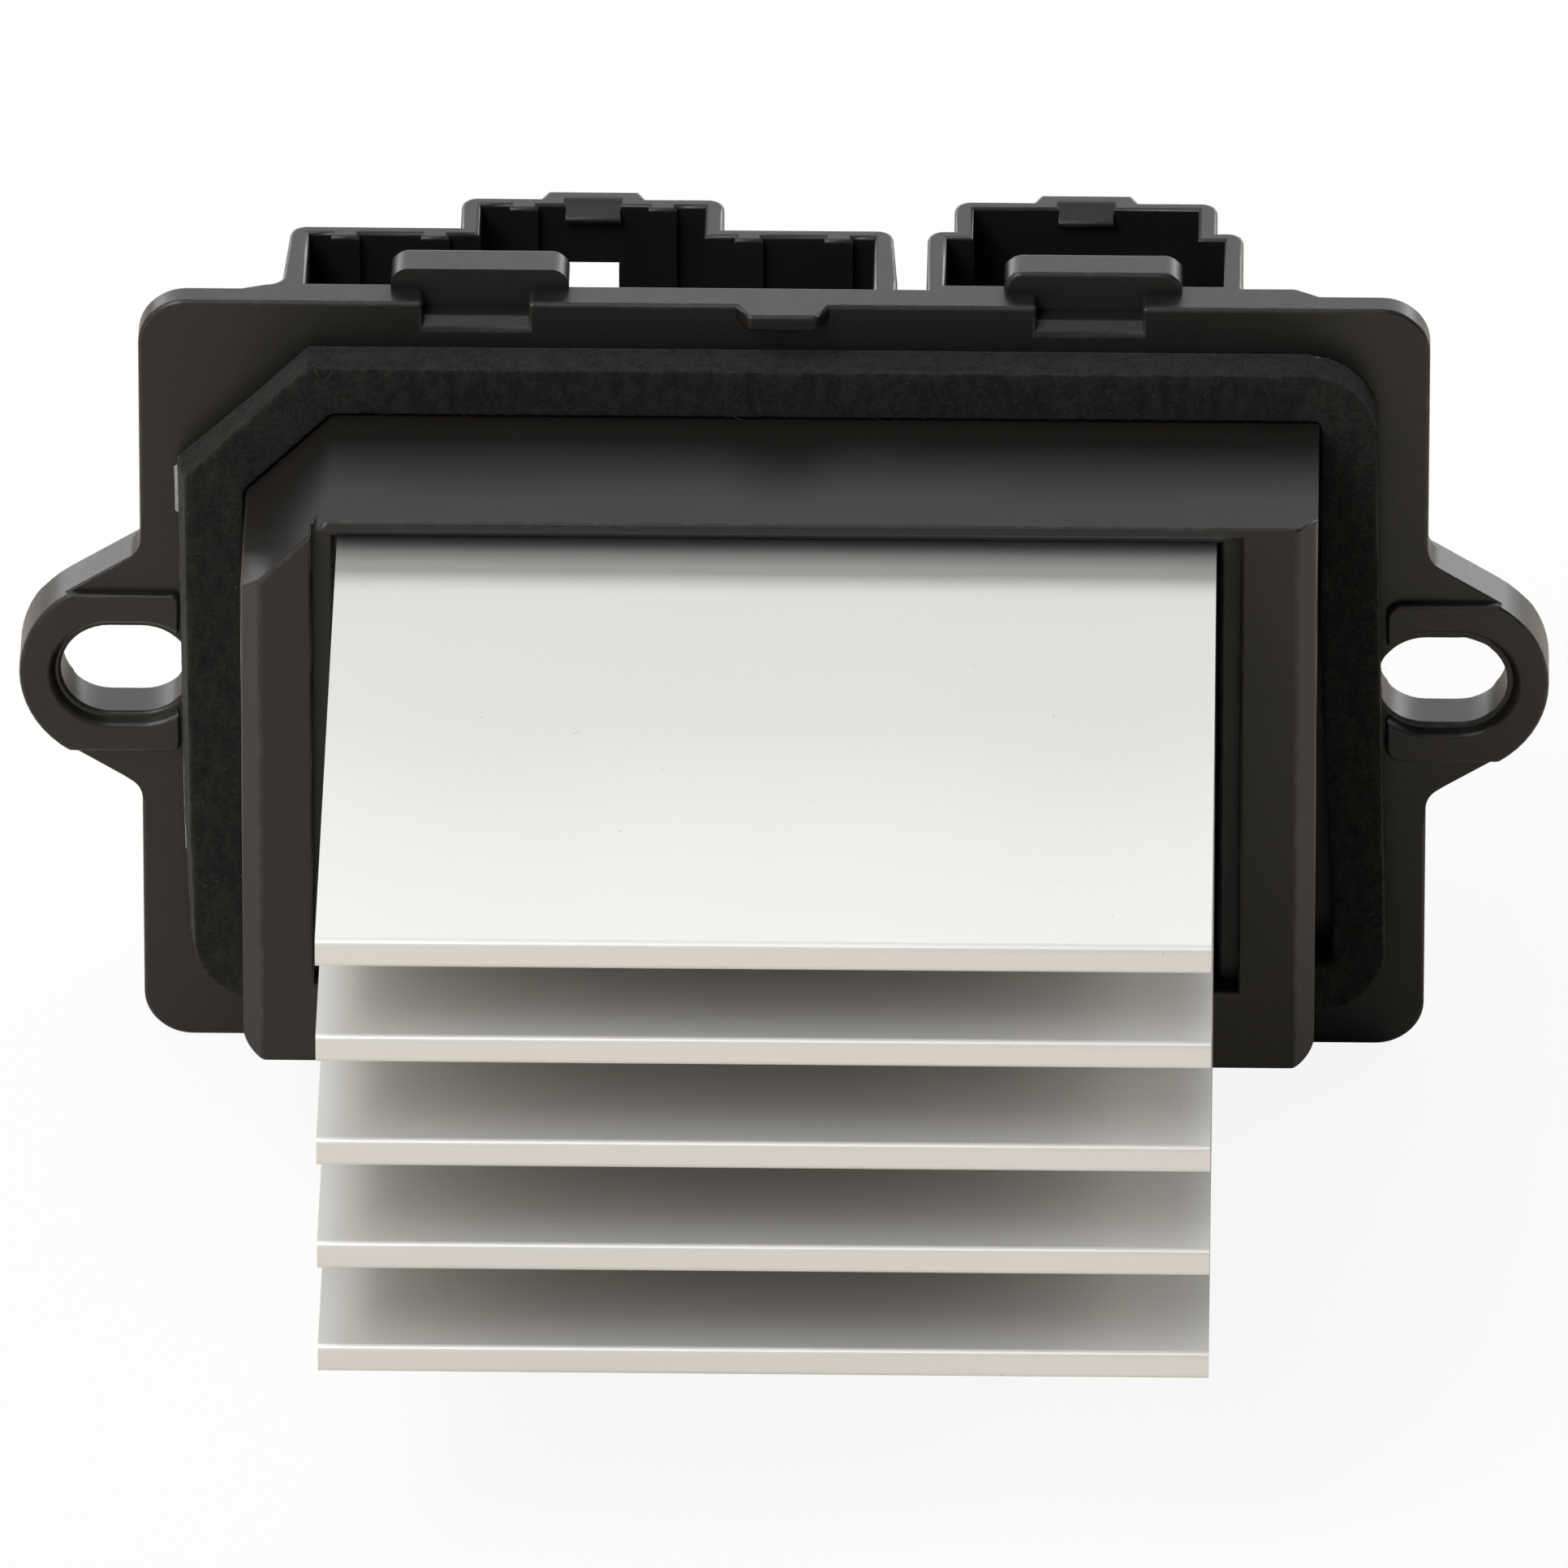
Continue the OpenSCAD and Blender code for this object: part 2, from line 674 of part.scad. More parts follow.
module left_socket_ribs() {
    for (side = [-1, 1]) {
        guide_rib(left_x + side * rib_bay, flange_t + bay_d - back_wall);
        guide_rib(left_x + side * rib_near, flange_t + wing_d - back_wall);
        guide_rib(left_x + side * rib_far, flange_t + wing_d - back_wall);
    }
}

// Notch in the flange's front below a hook, and the hook's head above it
module hook_notch(x) {
    lip_z = top_z - notch_h;
    along_x(x - notch_w / 2, x + notch_w / 2)
        polygon([[-cut, top_z + cut], [-cut, lip_z], [0, lip_z], [notch_lip, lip_z + notch_lip],
                 [notch_d, lip_z + notch_lip], [notch_d, top_z + cut]]);
}

module hook_head(x) {
    along_y(notch_d, notch_d + hook_t)
        translate([x, top_z]) polygon(rounded(
            [[-hook_head_w / 2, 0], [hook_head_w / 2, 0], [hook_head_w / 2, hook_rise],
             [-hook_head_w / 2, hook_rise]], [0, 0, hook_r, hook_r]));
}

module locating_nub() {
    translate([notch_x, 0, 0]) along_z(top_z - nub_h, top_z)
        polygon([[-nub_w / 2, flange_t / 2], [-nub_w / 2, 0], [-nub_tip_w / 2, -nub_reach],
                 [nub_tip_w / 2, -nub_reach], [nub_w / 2, 0], [nub_w / 2, flange_t / 2]]);
}

// Box walls behind the flange, with a boss in each corner for the cover's screws
module box_shell() {
    difference() {
        along_y(flange_t / 2, box_back)
            round_span([-box_w / 2, -box_drop], [box_w / 2, floor_z], box_r);
        along_y(flange_t, box_back + cut)
            span([-cavity_half, cavity_bottom], [cavity_half, cavity_top]);
    }
    for (x = [-boss_x, boss_x]) {
        pin_y(x, boss_low, boss_r, flange_t / 2, box_back);
        pin_y(x, boss_high, boss_r, blade_y + blade_t / 2 + seat_gap, box_back);
    }
    for (x = [-post_x, post_x])
        pin_y(x, post_z, post_r, flange_t / 2, board_front);
}

// Slots in the sockets' floor, one for each terminal
module terminal_slot(x, w) {
    translate([x, blade_y, floor_z - floor_t / 2])
        cube([w + 2 * lead_fit, blade_t + 2 * lead_fit, floor_t + 2 * cut], center = true);
}

module housing() {
    color([0.17, 0.16, 0.15]) difference() {
        union() {
            difference() {
                union() {
                    along_y(0, flange_t) round_span([-half_w, -top_z], [half_w, top_z], flange_r);
                    for (side = [0, 1]) mirror([side, 0, 0]) {
                        along_y(0, ear_t) ear_outline();
                        along_y(0, flange_t) ear_fillets();
                        ear_pad(pad_inner[side], pad_corner[side]);
                    }
                    collar();
                    locating_nub();
                    socket_shell(left_x, left_w, socket_flare);
                    socket_shell(right_x, right_w, 0);
                    left_socket_fillet();
                    along_z(floor_z - floor_t / 2, top_z)
                        span([right_x, flange_t / 2], [right_ramp + ramp_run, flange_t + right_land]);
                }
                for (side = [-1, 1]) hook_notch(notch_x + side * hook_spacing / 2);
                socket_room(left_x, left_w, flange_t);
                socket_room(right_x, right_w, flange_t + right_land);
            }
            for (side = [-1, 1]) hook_head(hook_x + side * hook_spacing / 2);
            latch_catch(left_x);
            latch_catch(right_x);
            left_socket_ribs();
            box_shell();
        }
        // Mounting slots
        for (side = [-1, 1])
            along_y(-pad_rise - cut, ear_t + cut)
                translate([side * slot_x, 0]) obround(slot_len, slot_w);
        // Reliefs behind the two upper corners, with a ramp at the end of each
        along_z(floor_z + cut, top_z + cut) {
            polygon([[right_ramp, flange_t + right_land + cut], [right_ramp, flange_t + right_land],
                     [right_ramp + ramp_run, flange_t - relief_d], [half_w + cut, flange_t - relief_d],
                     [half_w + cut, flange_t + right_land + cut]]);
            polygon([[left_ramp, flange_t + cut], [left_ramp, flange_t],
                     [left_ramp - ramp_run, flange_t - relief_d], [-half_w - cut, flange_t - relief_d],
                     [-half_w - cut, flange_t + cut]]);
        }
        // Seat and sealing groove of the heat sink
        along_y(-collar_reach - cut, 0)
            span([sink_left - sink_fit, sink_bottom - sink_fit],
                 [sink_right + sink_fit, sink_top + sink_fit]);
        along_y(-collar_reach - cut, -collar_reach + groove_d)
            span([sink_left - groove_w, sink_bottom - sink_fit],
                 [sink_right + groove_w, sink_top + groove_w]);
        // Hatch behind the heat sink for the transistors
        along_y(-cut, flange_t + cut)
            span([sink_x - hatch_w / 2, hatch_high - hatch_h], [sink_x + hatch_w / 2, hatch_high]);
        // Screw holes: heat sink, board and cover
        for (p = sink_screws) pin_y(p.x, p.y, pass_r, -cut, flange_t + cut);
        for (x = [-post_x, post_x])
            pin_y(x, post_z, bite_r, board_front - screw_bite - screw_fit,
                  board_front + cut);
        for (x = [-boss_x, boss_x], z = [boss_low, boss_high])
            pin_y(x, z, bite_r, box_back - screw_bite - screw_fit, box_back + cut);
        // Terminal slots in the sockets' floors
        for (side = [-1, 1]) {
            terminal_slot(left_x + side * supply_pitch / 2, blade_w);
            terminal_slot(right_x + side * motor_pitch / 2, blade_w);
        }
        for (i = [0 : signal_count - 1]) terminal_slot(signal_x(i), signal_w);
    }
}

// Cover that closes the box, with four rails that locate it and a raised plain panel
module rear_cover() {
    rail_x = boss_x - boss_r - rail_fit;
    rail_high = boss_high - boss_r - rail_fit;
    rail_low = boss_low + boss_r + rail_fit;
    color([0.19, 0.18, 0.17]) difference() {
        union() {
            along_y(box_back, box_back + cover_t)
                round_span([-box_w / 2, -box_drop], [box_w / 2, floor_z], box_r);
            along_y(box_back + cover_t / 2, box_back + cover_t + panel_rise)
                round_span([-box_w / 2 + panel_border, -box_drop + panel_border],
                           [box_w / 2 - panel_border, floor_z - panel_border], box_r);
            along_y(box_back - rail_d, box_back + cover_t / 2) {
                span([-rail_x, cavity_top - rail_fit - rail_t], [rail_x, cavity_top - rail_fit]);
                span([-rail_x, cavity_bottom + rail_fit], [rail_x, cavity_bottom + rail_fit + rail_t]);
                span([-cavity_half + rail_fit, rail_low], [-cavity_half + rail_fit + rail_t, rail_high]);
                span([cavity_half - rail_fit - rail_t, rail_low], [cavity_half - rail_fit, rail_high]);
            }
        }
        for (x = [-boss_x, boss_x], z = [boss_low, boss_high])
            pin_y(x, z, pass_r, box_back - cut, box_back + cover_t + cut);
    }
}

// Foam ring around the collar, laid by hand so that its lower right corner leans outwards
module gasket() {
    inner_left = collar_left - gasket_fit;
    inner_right = collar_right + gasket_fit;
    inner_high = collar_top + gasket_fit;
    inner_low = collar_bottom - gasket_fit;
    inner_slant = collar_slant + gasket_fit * (2 - sqrt(2));
    color([0.13, 0.12, 0.12]) along_y(-gasket_t, 0) difference() {
        polygon(rounded(
            [[gasket_left + gasket_lean, gasket_low], [gasket_right + gasket_lean, gasket_low],
             [gasket_right, gasket_high], [gasket_left + gasket_slant, gasket_high],
             [gasket_left, gasket_high - gasket_slant]],
            [gasket_r, gasket_r, gasket_r, 0, 0]));
        polygon([[inner_left, inner_low], [inner_right + gasket_lean, inner_low],
                 [inner_right, collar_top / 4], [inner_right, inner_high],
                 [inner_left + inner_slant, inner_high], [inner_left, inner_high - inner_slant]]);
    }
}

// One fin's section, from inside the base plate to its tip, with round edges and root fillets
module fin_section(z) {
    tip = -fin_reach;
    span([tip + fin_r, z], [-base_t / 2, z + fin_t]);
    span([tip, z + fin_r], [-base_t, z + fin_t - fin_r]);
    for (edge = [z + fin_r, z + fin_t - fin_r])
        translate([tip + fin_r, edge]) circle(fin_r);
}

// Fillet between the base plate and a fin's face at height z, on the side given
module root_fillet(z, side) {
    difference() {
        span([-base_t - root_r, side > 0 ? z : z - root_r], [-base_t / 2, side > 0 ? z + root_r : z]);
        translate([-base_t - root_r, z + side * root_r]) circle(root_r);
    }
}

// Extruded comb: a base plate and its row of fins, cut to length and drilled from behind
module heat_sink() {
    color([0.90, 0.89, 0.87]) difference() {
        along_x(sink_left, sink_right) {
            span([-base_t, sink_bottom], [0, sink_top]);
            for (z = fins) fin_section(z);
            for (i = [1 : fin_count - 1]) {
                root_fillet(fins[i - 1] + fin_t, 1);
                root_fillet(fins[i], -1);
            }
        }
        for (p = sink_screws) pin_y(p.x, p.y, bite_r, -screw_bite - screw_fit, cut);
        for (side = [-1, 1])
            pin_y(sink_x + side * transistor_spacing / 2, tab_screw_z, bite_r,
                  -screw_bite - screw_fit, cut);
    }
}

// Screw driven towards the fins, with the underside of its head at (x, y, z)
module screw(x, y, z, len) {
    rim = screw_head_h / 2;
    crown = screw_head_h - rim;
    color([0.72, 0.72, 0.70]) difference() {
        union() {
            pin_y(x, z, screw_d / 2, y - len, y + rim / 2);
            pin_y(x, z, screw_head_d / 2, y, y + rim);
            translate([x, y + rim, z]) rotate([-90, 0, 0])
                cylinder(r1 = screw_head_d / 2, r2 = screw_head_d / 2 - crown, h = crown);
        }
        for (turn = [0, 90])
            translate([x, y + screw_head_h, z]) rotate([0, turn, 0])
                cube([recess_len, 2 * recess_d, recess_w], center = true);
    }
}

module heat_sink_screws() {
    for (p = sink_screws) screw(p.x, flange_t, p.y, flange_t + screw_bite);
}

module transistor_screws() {
    for (side = [-1, 1])
        screw(sink_x + side * transistor_spacing / 2, pad_t + tab_t, tab_screw_z,
              pad_t + tab_t + screw_bite);
}

module board_screws() {
    for (x = [-post_x, post_x]) screw(x, board_back, post_z, board_t + screw_bite);
}

module cover_screws() {
    for (x = [-boss_x, boss_x], z = [boss_low, boss_high])
        screw(x, box_back + cover_t, z, cover_t + screw_bite);
}

// Thin pad between a transistor and the heat sink
module thermal_pad(side) {
    x = sink_x + side * transistor_spacing / 2;
    reach = transistor_w / 2 + pad_border;
    color([0.75, 0.74, 0.68]) difference() {
        along_y(0, pad_t)
            span([x - reach, body_bottom - pad_border], [x + reach, transistor_top + pad_border]);
        pin_y(x, tab_screw_z, pass_r, -cut, pad_t + cut);
    }
}

// Transistor: a metal tab with a screw hole and a moulded body
module power_transistor(side) {
    x = sink_x + side * transistor_spacing / 2;
    half = transistor_w / 2;
    shoulder = tab_t / 2;
    color([0.14, 0.14, 0.15]) difference() {
        union() {
            along_y(pad_t, pad_t + tab_t)
                polygon([[x - half, body_bottom], [x + half, body_bottom],
                         [x + half, transistor_top - shoulder], [x + half - shoulder, transistor_top],
                         [x - half + shoulder, transistor_top], [x - half, transistor_top - shoulder]]);
            along_x(x - half, x + half)
                polygon([[pad_t + tab_t / 2, body_bottom], [pad_t + transistor_t, body_bottom],
                         [pad_t + transistor_t, body_top - shoulder], [pad_t + tab_t, body_top],
                         [pad_t + tab_t / 2, body_top]]);
        }
        pin_y(x, tab_screw_z, pass_r, pad_t - cut, pad_t + tab_t + cut);
    }
}

// Three legs of a transistor, bent back through the board
module transistor_leads(side) {
    x = sink_x + side * transistor_spacing / 2;
    for (i = [-1 : 1])
        color([0.80, 0.80, 0.78])
            along_x(x + i * lead_pitch - lead_w / 2, x + i * lead_pitch + lead_w / 2)
                polygon([[lead_y - lead_t / 2, body_bottom], [lead_y - lead_t / 2, lead_bend_z - lead_t],
                         [board_back + lead_tail, lead_bend_z - lead_t],
                         [board_back + lead_tail, lead_bend_z], [lead_y + lead_t / 2, lead_bend_z],
                         [lead_y + lead_t / 2, body_bottom]]);
}

// Place of one signal pin, counted from the left, and of one power blade's tail
function signal_x(i) = left_x + (i - (signal_count - 1) / 2) * signal_pitch;
function tail_x(middle, pitch, side) = middle + side * (pitch - blade_w + tail_w) / 2;

// Terminal: an upright blade through the socket's floor with a tail bent into the board
module terminal(x, w, foot_x, foot_w) {
    top = top_z - blade_recess;
    tip = min(blade_tip, w / 3);
    color([0.78, 0.76, 0.70]) union() {
        along_y(blade_y - blade_t / 2, blade_y + blade_t / 2)
            polygon([[x - w / 2, tail_z - blade_t / 2], [x + w / 2, tail_z - blade_t / 2],
                     [x + w / 2, top - tip], [x + w / 2 - tip, top], [x - w / 2 + tip, top],
                     [x - w / 2, top - tip]]);
        along_x(foot_x - foot_w / 2, foot_x + foot_w / 2)
            span([blade_y, tail_z - blade_t / 2], [board_back + lead_tail, tail_z + blade_t / 2]);
    }
}

// Power blade of one socket, on the side given, with its tail at the blade's inner edge
module power_terminal(middle, pitch, side) {
    terminal(middle + side * pitch / 2, blade_w, tail_x(middle, pitch, side), tail_w);
}

module signal_pins() {
    for (i = [0 : signal_count - 1]) terminal(signal_x(i), signal_w, signal_x(i), signal_w);
}

// Slot in the board for a terminal's tail
module tail_hole(x, foot_w) {
    along_x(x - foot_w / 2 - lead_fit, x + foot_w / 2 + lead_fit)
        span([board_front - cut, tail_z - blade_t / 2 - lead_fit],
             [board_back + cut, tail_z + blade_t / 2 + lead_fit]);
}

module wire_hole(x, z, d) {
    pin_y(x, z, d / 2 + lead_fit, board_front - cut, board_back + cut);
}

module circuit_board() {
    color([0.10, 0.32, 0.18]) difference() {
        along_y(board_front, board_back)
            span([-board_half, board_low], [board_half, board_high]);
        for (x = [-post_x, post_x])
            pin_y(x, post_z, pass_r, board_front - cut, board_back + cut);
        for (side = [-1, 1]) {
            tail_hole(tail_x(left_x, supply_pitch, side), tail_w);
            tail_hole(tail_x(right_x, motor_pitch, side), tail_w);
            for (i = [-1 : 1])
                wire_hole(sink_x + side * transistor_spacing / 2 + i * lead_pitch,
                          lead_bend_z - lead_t / 2, norm([lead_w, lead_t]));
            wire_hole(capacitor_wire_x, low_row_z + side * capacitor_pitch / 2, norm([wire_d, wire_d]));
            wire_hole(right_column + side * coil_half, low_row_z, choke_wire_d);
            wire_hole(diode_x, diode_z + side * diode_span / 2, norm([wire_d, wire_d]));
            along_z(shunt_z - shunt_w / 2 - lead_fit, shunt_z + shunt_w / 2 + lead_fit)
                span([right_column + side * (shunt_len - shunt_t) / 2 - shunt_t / 2 - lead_fit,
                      board_front - cut],
                     [right_column + side * (shunt_len - shunt_t) / 2 + shunt_t / 2 + lead_fit,
                      board_back + cut]);
        }
        for (i = [0 : signal_count - 1]) tail_hole(signal_x(i), signal_w);
    }
}

// Electrolytic capacitor lying on the board, with its crimped groove near the leads
module filter_capacitor() {
    r = capacitor_d / 2;
    crimp = capacitor_len - 3 * wire_d;
    color([0.16, 0.18, 0.24])
        translate([capacitor_end - capacitor_len, capacitor_y, low_row_z]) rotate([0, 90, 0])
            rotate_extrude() polygon([[0, 0], [r, 0], [r, crimp - wire_d], [r - wire_d / 2, crimp],
                                      [r, crimp + wire_d], [r, capacitor_len], [0, capacitor_len]]);
}

// Two wires that leave along X and turn into the board
module capacitor_leads() {
    half = wire_d / 2;
    for (side = [-1, 1])
        color([0.80, 0.80, 0.78])
            translate([0, 0, low_row_z + side * capacitor_pitch / 2]) along_z(-half, half)
                polygon([[capacitor_end, capacitor_y - half], [capacitor_end, capacitor_y + half],
                         [capacitor_wire_x + half, capacitor_y + half],
                         [capacitor_wire_x + half, board_front - lead_tail],
                         [capacitor_wire_x - half, board_front - lead_tail],
                         [capacitor_wire_x - half, capacitor_y - half]]);
}

module choke_core() {
    color([0.22, 0.22, 0.24])
        translate([right_column - choke_len / 2, choke_y, low_row_z]) rotate([0, 90, 0])
            cylinder(d = choke_rod_d, h = choke_len);
}

// Close-wound coil on the rod, with its two ends led into the board
module choke_winding() {
    wire_mid = choke_rod_d / 2 + seat_gap + choke_wire_d / 2;
    color([0.72, 0.42, 0.22]) union() {
        translate([right_column, choke_y, low_row_z]) rotate([0, 90, 0]) rotate_extrude()
            for (i = [0 : choke_turns - 1])
                translate([wire_mid, i * coil_step - coil_half]) circle(d = choke_wire_d, $fn = wire_sides);
        for (side = [-1, 1])
            pin_y(right_column + side * coil_half, low_row_z, choke_wire_d / 2, board_front - lead_tail,
                  choke_y - wire_mid);
    }
}

// Folded metal strap that carries the motor current
module shunt_resistor() {
    half = shunt_len / 2;
    crest = board_back + shunt_h;
    color([0.62, 0.50, 0.38]) along_z(shunt_z - shunt_w / 2, shunt_z + shunt_w / 2)
        translate([right_column, 0]) difference() {
            span([-half, board_front - lead_tail], [half, crest]);
            span([-half + shunt_t, board_front - lead_tail - cut], [half - shunt_t, crest - shunt_t]);
        }
}

module control_chip() {
    bevel = chip_h / 5;
    color([0.09, 0.09, 0.10]) translate([left_column, board_back + chip_lift, 0])
        along_x(-chip_len / 2, chip_len / 2)
            polygon([[0, chip_z - chip_w / 2 + bevel], [chip_h / 2, chip_z - chip_w / 2],
                     [chip_h, chip_z - chip_w / 2 + bevel], [chip_h, chip_z + chip_w / 2 - bevel],
                     [chip_h / 2, chip_z + chip_w / 2], [0, chip_z + chip_w / 2 - bevel]]);
}

// Bent legs of the control chip, standing on the board
module chip_leads() {
    shelf = board_back + chip_lift + chip_h / 2;
    edge = chip_w / 2 + seat_gap;
    for (side = [0, 1], i = [0 : chip_leads_per_side - 1])
        color([0.80, 0.80, 0.78])
            translate([left_column + (i - (chip_leads_per_side - 1) / 2) * chip_pitch, 0, chip_z])
                mirror([0, 0, side]) along_x(-gull_w / 2, gull_w / 2)
                    polygon([[shelf - gull_t / 2, edge], [shelf + gull_t / 2, edge],
                             [shelf + gull_t / 2, edge + gull_out / 2],
                             [board_back + gull_t, edge + gull_out / 2],
                             [board_back + gull_t, edge + gull_out], [board_back, edge + gull_out],
                             [board_back, edge + gull_out / 2 - gull_t],
                             [shelf - gull_t / 2, edge + gull_out / 2 - gull_t]]);
}

// Axial diode lying on the board, its two wires turned into their holes
module surge_diode() {
    y = board_back + diode_d / 2 + seat_gap;
    color([0.10, 0.10, 0.11]) union() {
        translate([diode_x, y, diode_z - diode_len / 2]) cylinder(d = diode_d, h = diode_len);
        along_x(diode_x - wire_d / 2, diode_x + wire_d / 2) difference() {
            span([board_front - lead_tail, diode_z - (diode_span + wire_d) / 2],
                 [y + wire_d / 2, diode_z + (diode_span + wire_d) / 2]);
            span([board_front - lead_tail - cut, diode_z - (diode_span - wire_d) / 2],
                 [y - wire_d / 2, diode_z + (diode_span - wire_d) / 2]);
        }
    }
}

// Row of small soldered blocks on the board's rear face
module block_row(count, size, x, z) {
    for (i = [0 : count - 1])
        translate([x + (i - (count - 1) / 2) * part_step - size.x / 2, board_back, z - size.z / 2])
            cube(size);
}

module chip_resistors() {
    color([0.13, 0.13, 0.14]) block_row(resistor_count, chip_part, left_column, resistor_z);
}

module ceramic_capacitors() {
    color([0.66, 0.55, 0.42]) block_row(ceramic_count, ceramic_part, right_column, ceramic_z);
}

housing();
rear_cover();
gasket();
heat_sink();
circuit_board();
thermal_pad(-1);  // thermal_pad_left
thermal_pad(1);  // thermal_pad_right
power_transistor(-1);  // power_transistor_left
power_transistor(1);  // power_transistor_right
transistor_leads(-1);  // transistor_leads_left
transistor_leads(1);  // transistor_leads_right
heat_sink_screws();
transistor_screws();
board_screws();
cover_screws();
power_terminal(left_x, supply_pitch, -1);  // supply_terminal
power_terminal(left_x, supply_pitch, 1);  // ground_terminal
signal_pins();
power_terminal(right_x, motor_pitch, -1);  // motor_terminal_positive
power_terminal(right_x, motor_pitch, 1);  // motor_terminal_negative
filter_capacitor();
capacitor_leads();
choke_core();
choke_winding();
shunt_resistor();
control_chip();
chip_leads();
surge_diode();
chip_resistors();
ceramic_capacitors();
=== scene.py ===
# %% [markdown]
# # A blower motor resistor, dressed in Blender
# The part is a moulded housing with a flange, a foam ring, a comb of aluminium fins and two plug
# sockets. The solids come packed from CAD, in metres, in one frame: X runs along the two slots,
# Y points away from the fins and Z is up. This lesson gives each solid its real surface.

import json
import math

import bmesh
import bpy
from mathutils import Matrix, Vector, kdtree, noise

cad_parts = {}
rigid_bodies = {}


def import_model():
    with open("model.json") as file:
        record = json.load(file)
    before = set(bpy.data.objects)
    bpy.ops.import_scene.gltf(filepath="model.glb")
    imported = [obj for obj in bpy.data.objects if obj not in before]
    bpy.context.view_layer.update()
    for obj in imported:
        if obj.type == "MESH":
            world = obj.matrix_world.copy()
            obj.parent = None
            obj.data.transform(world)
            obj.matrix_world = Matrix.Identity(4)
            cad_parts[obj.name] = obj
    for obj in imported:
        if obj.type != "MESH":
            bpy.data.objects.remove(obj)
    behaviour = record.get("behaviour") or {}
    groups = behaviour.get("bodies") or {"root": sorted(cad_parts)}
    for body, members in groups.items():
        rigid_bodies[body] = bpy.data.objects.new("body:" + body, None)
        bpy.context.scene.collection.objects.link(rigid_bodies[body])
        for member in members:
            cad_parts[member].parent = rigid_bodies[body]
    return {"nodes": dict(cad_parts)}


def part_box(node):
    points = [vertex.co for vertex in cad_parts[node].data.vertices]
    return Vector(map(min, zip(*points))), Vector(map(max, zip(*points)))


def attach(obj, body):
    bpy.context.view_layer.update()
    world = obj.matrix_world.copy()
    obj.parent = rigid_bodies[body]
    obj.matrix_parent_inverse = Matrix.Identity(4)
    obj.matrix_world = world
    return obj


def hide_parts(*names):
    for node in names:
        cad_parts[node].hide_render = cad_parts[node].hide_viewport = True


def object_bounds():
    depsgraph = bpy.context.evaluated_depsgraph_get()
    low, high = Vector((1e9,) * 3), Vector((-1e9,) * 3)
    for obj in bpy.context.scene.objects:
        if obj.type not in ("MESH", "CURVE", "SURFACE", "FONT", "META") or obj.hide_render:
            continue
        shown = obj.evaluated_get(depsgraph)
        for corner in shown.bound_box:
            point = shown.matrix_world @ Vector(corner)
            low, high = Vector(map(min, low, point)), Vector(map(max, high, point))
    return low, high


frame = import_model()
nodes = frame["nodes"]
cad_box = [list(corner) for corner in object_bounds()]
MM = 0.001
box_mm = [[round(v / MM, 2) for v in corner] for corner in cad_box]
print(len(nodes), "solids loaded, box in mm", box_mm)

# %% [markdown]
# ## Writing finishes as sums
# A material is a tree of nodes, and a tree is slow to read as a list of links. The class `Wire`
# stands for one output of a tree, so `1 - mask` or `grain * 0.3 + 0.4` adds the Math nodes by
# itself. The class `Shader` holds the tree, and its `node` method makes every other kind of node.

# %% Sums of nodes
class Wire:
    """One output of a finish, which takes part in Python sums."""

    def __init__(self, finish, socket):
        self.finish, self.socket = finish, socket

    def _sum(self, operation, first, second):
        return self.finish.node("ShaderNodeMath", {"operation": operation}, {0: first, 1: second})

    def __add__(self, other):
        return self._sum("ADD", self, other)

    def __sub__(self, other):
        return self._sum("SUBTRACT", self, other)

    def __rsub__(self, other):
        return self._sum("SUBTRACT", other, self)

    def __mul__(self, other):
        return self._sum("MULTIPLY", self, other)

    __radd__ = __add__
    __rmul__ = __mul__


class Shader:
    """The node tree of a material or a world, with one method that makes any kind of node."""

    def __init__(self, owner):
        owner.use_nodes = True
        self.tree = owner.node_tree

    def node(self, kind, settings=None, inputs=None, out=0):
        made = self.tree.nodes.new(kind)
        for key, value in (settings or {}).items():
            setattr(made, key, value)
        for key, value in (inputs or {}).items():
            if isinstance(value, Wire):
                self.tree.links.new(value.socket, made.inputs[key])
            else:
                made.inputs[key].default_value = value
        return Wire(self, made.outputs[out]) if out is not None else None


print("sums of nodes ready")

# %% [markdown]
# ## Short names for patterns
# A real surface is never one plain colour, so each finish below mixes a few patterns. `Finish` holds
# one material and gives the patterns short names: cloudy noise, a smooth ramp, a blend of two
# colours, stretched coordinates and a bump. `feed` joins the results to the shader. What is the same
# all over a surface is set on the shader's own socket when the finish is made.

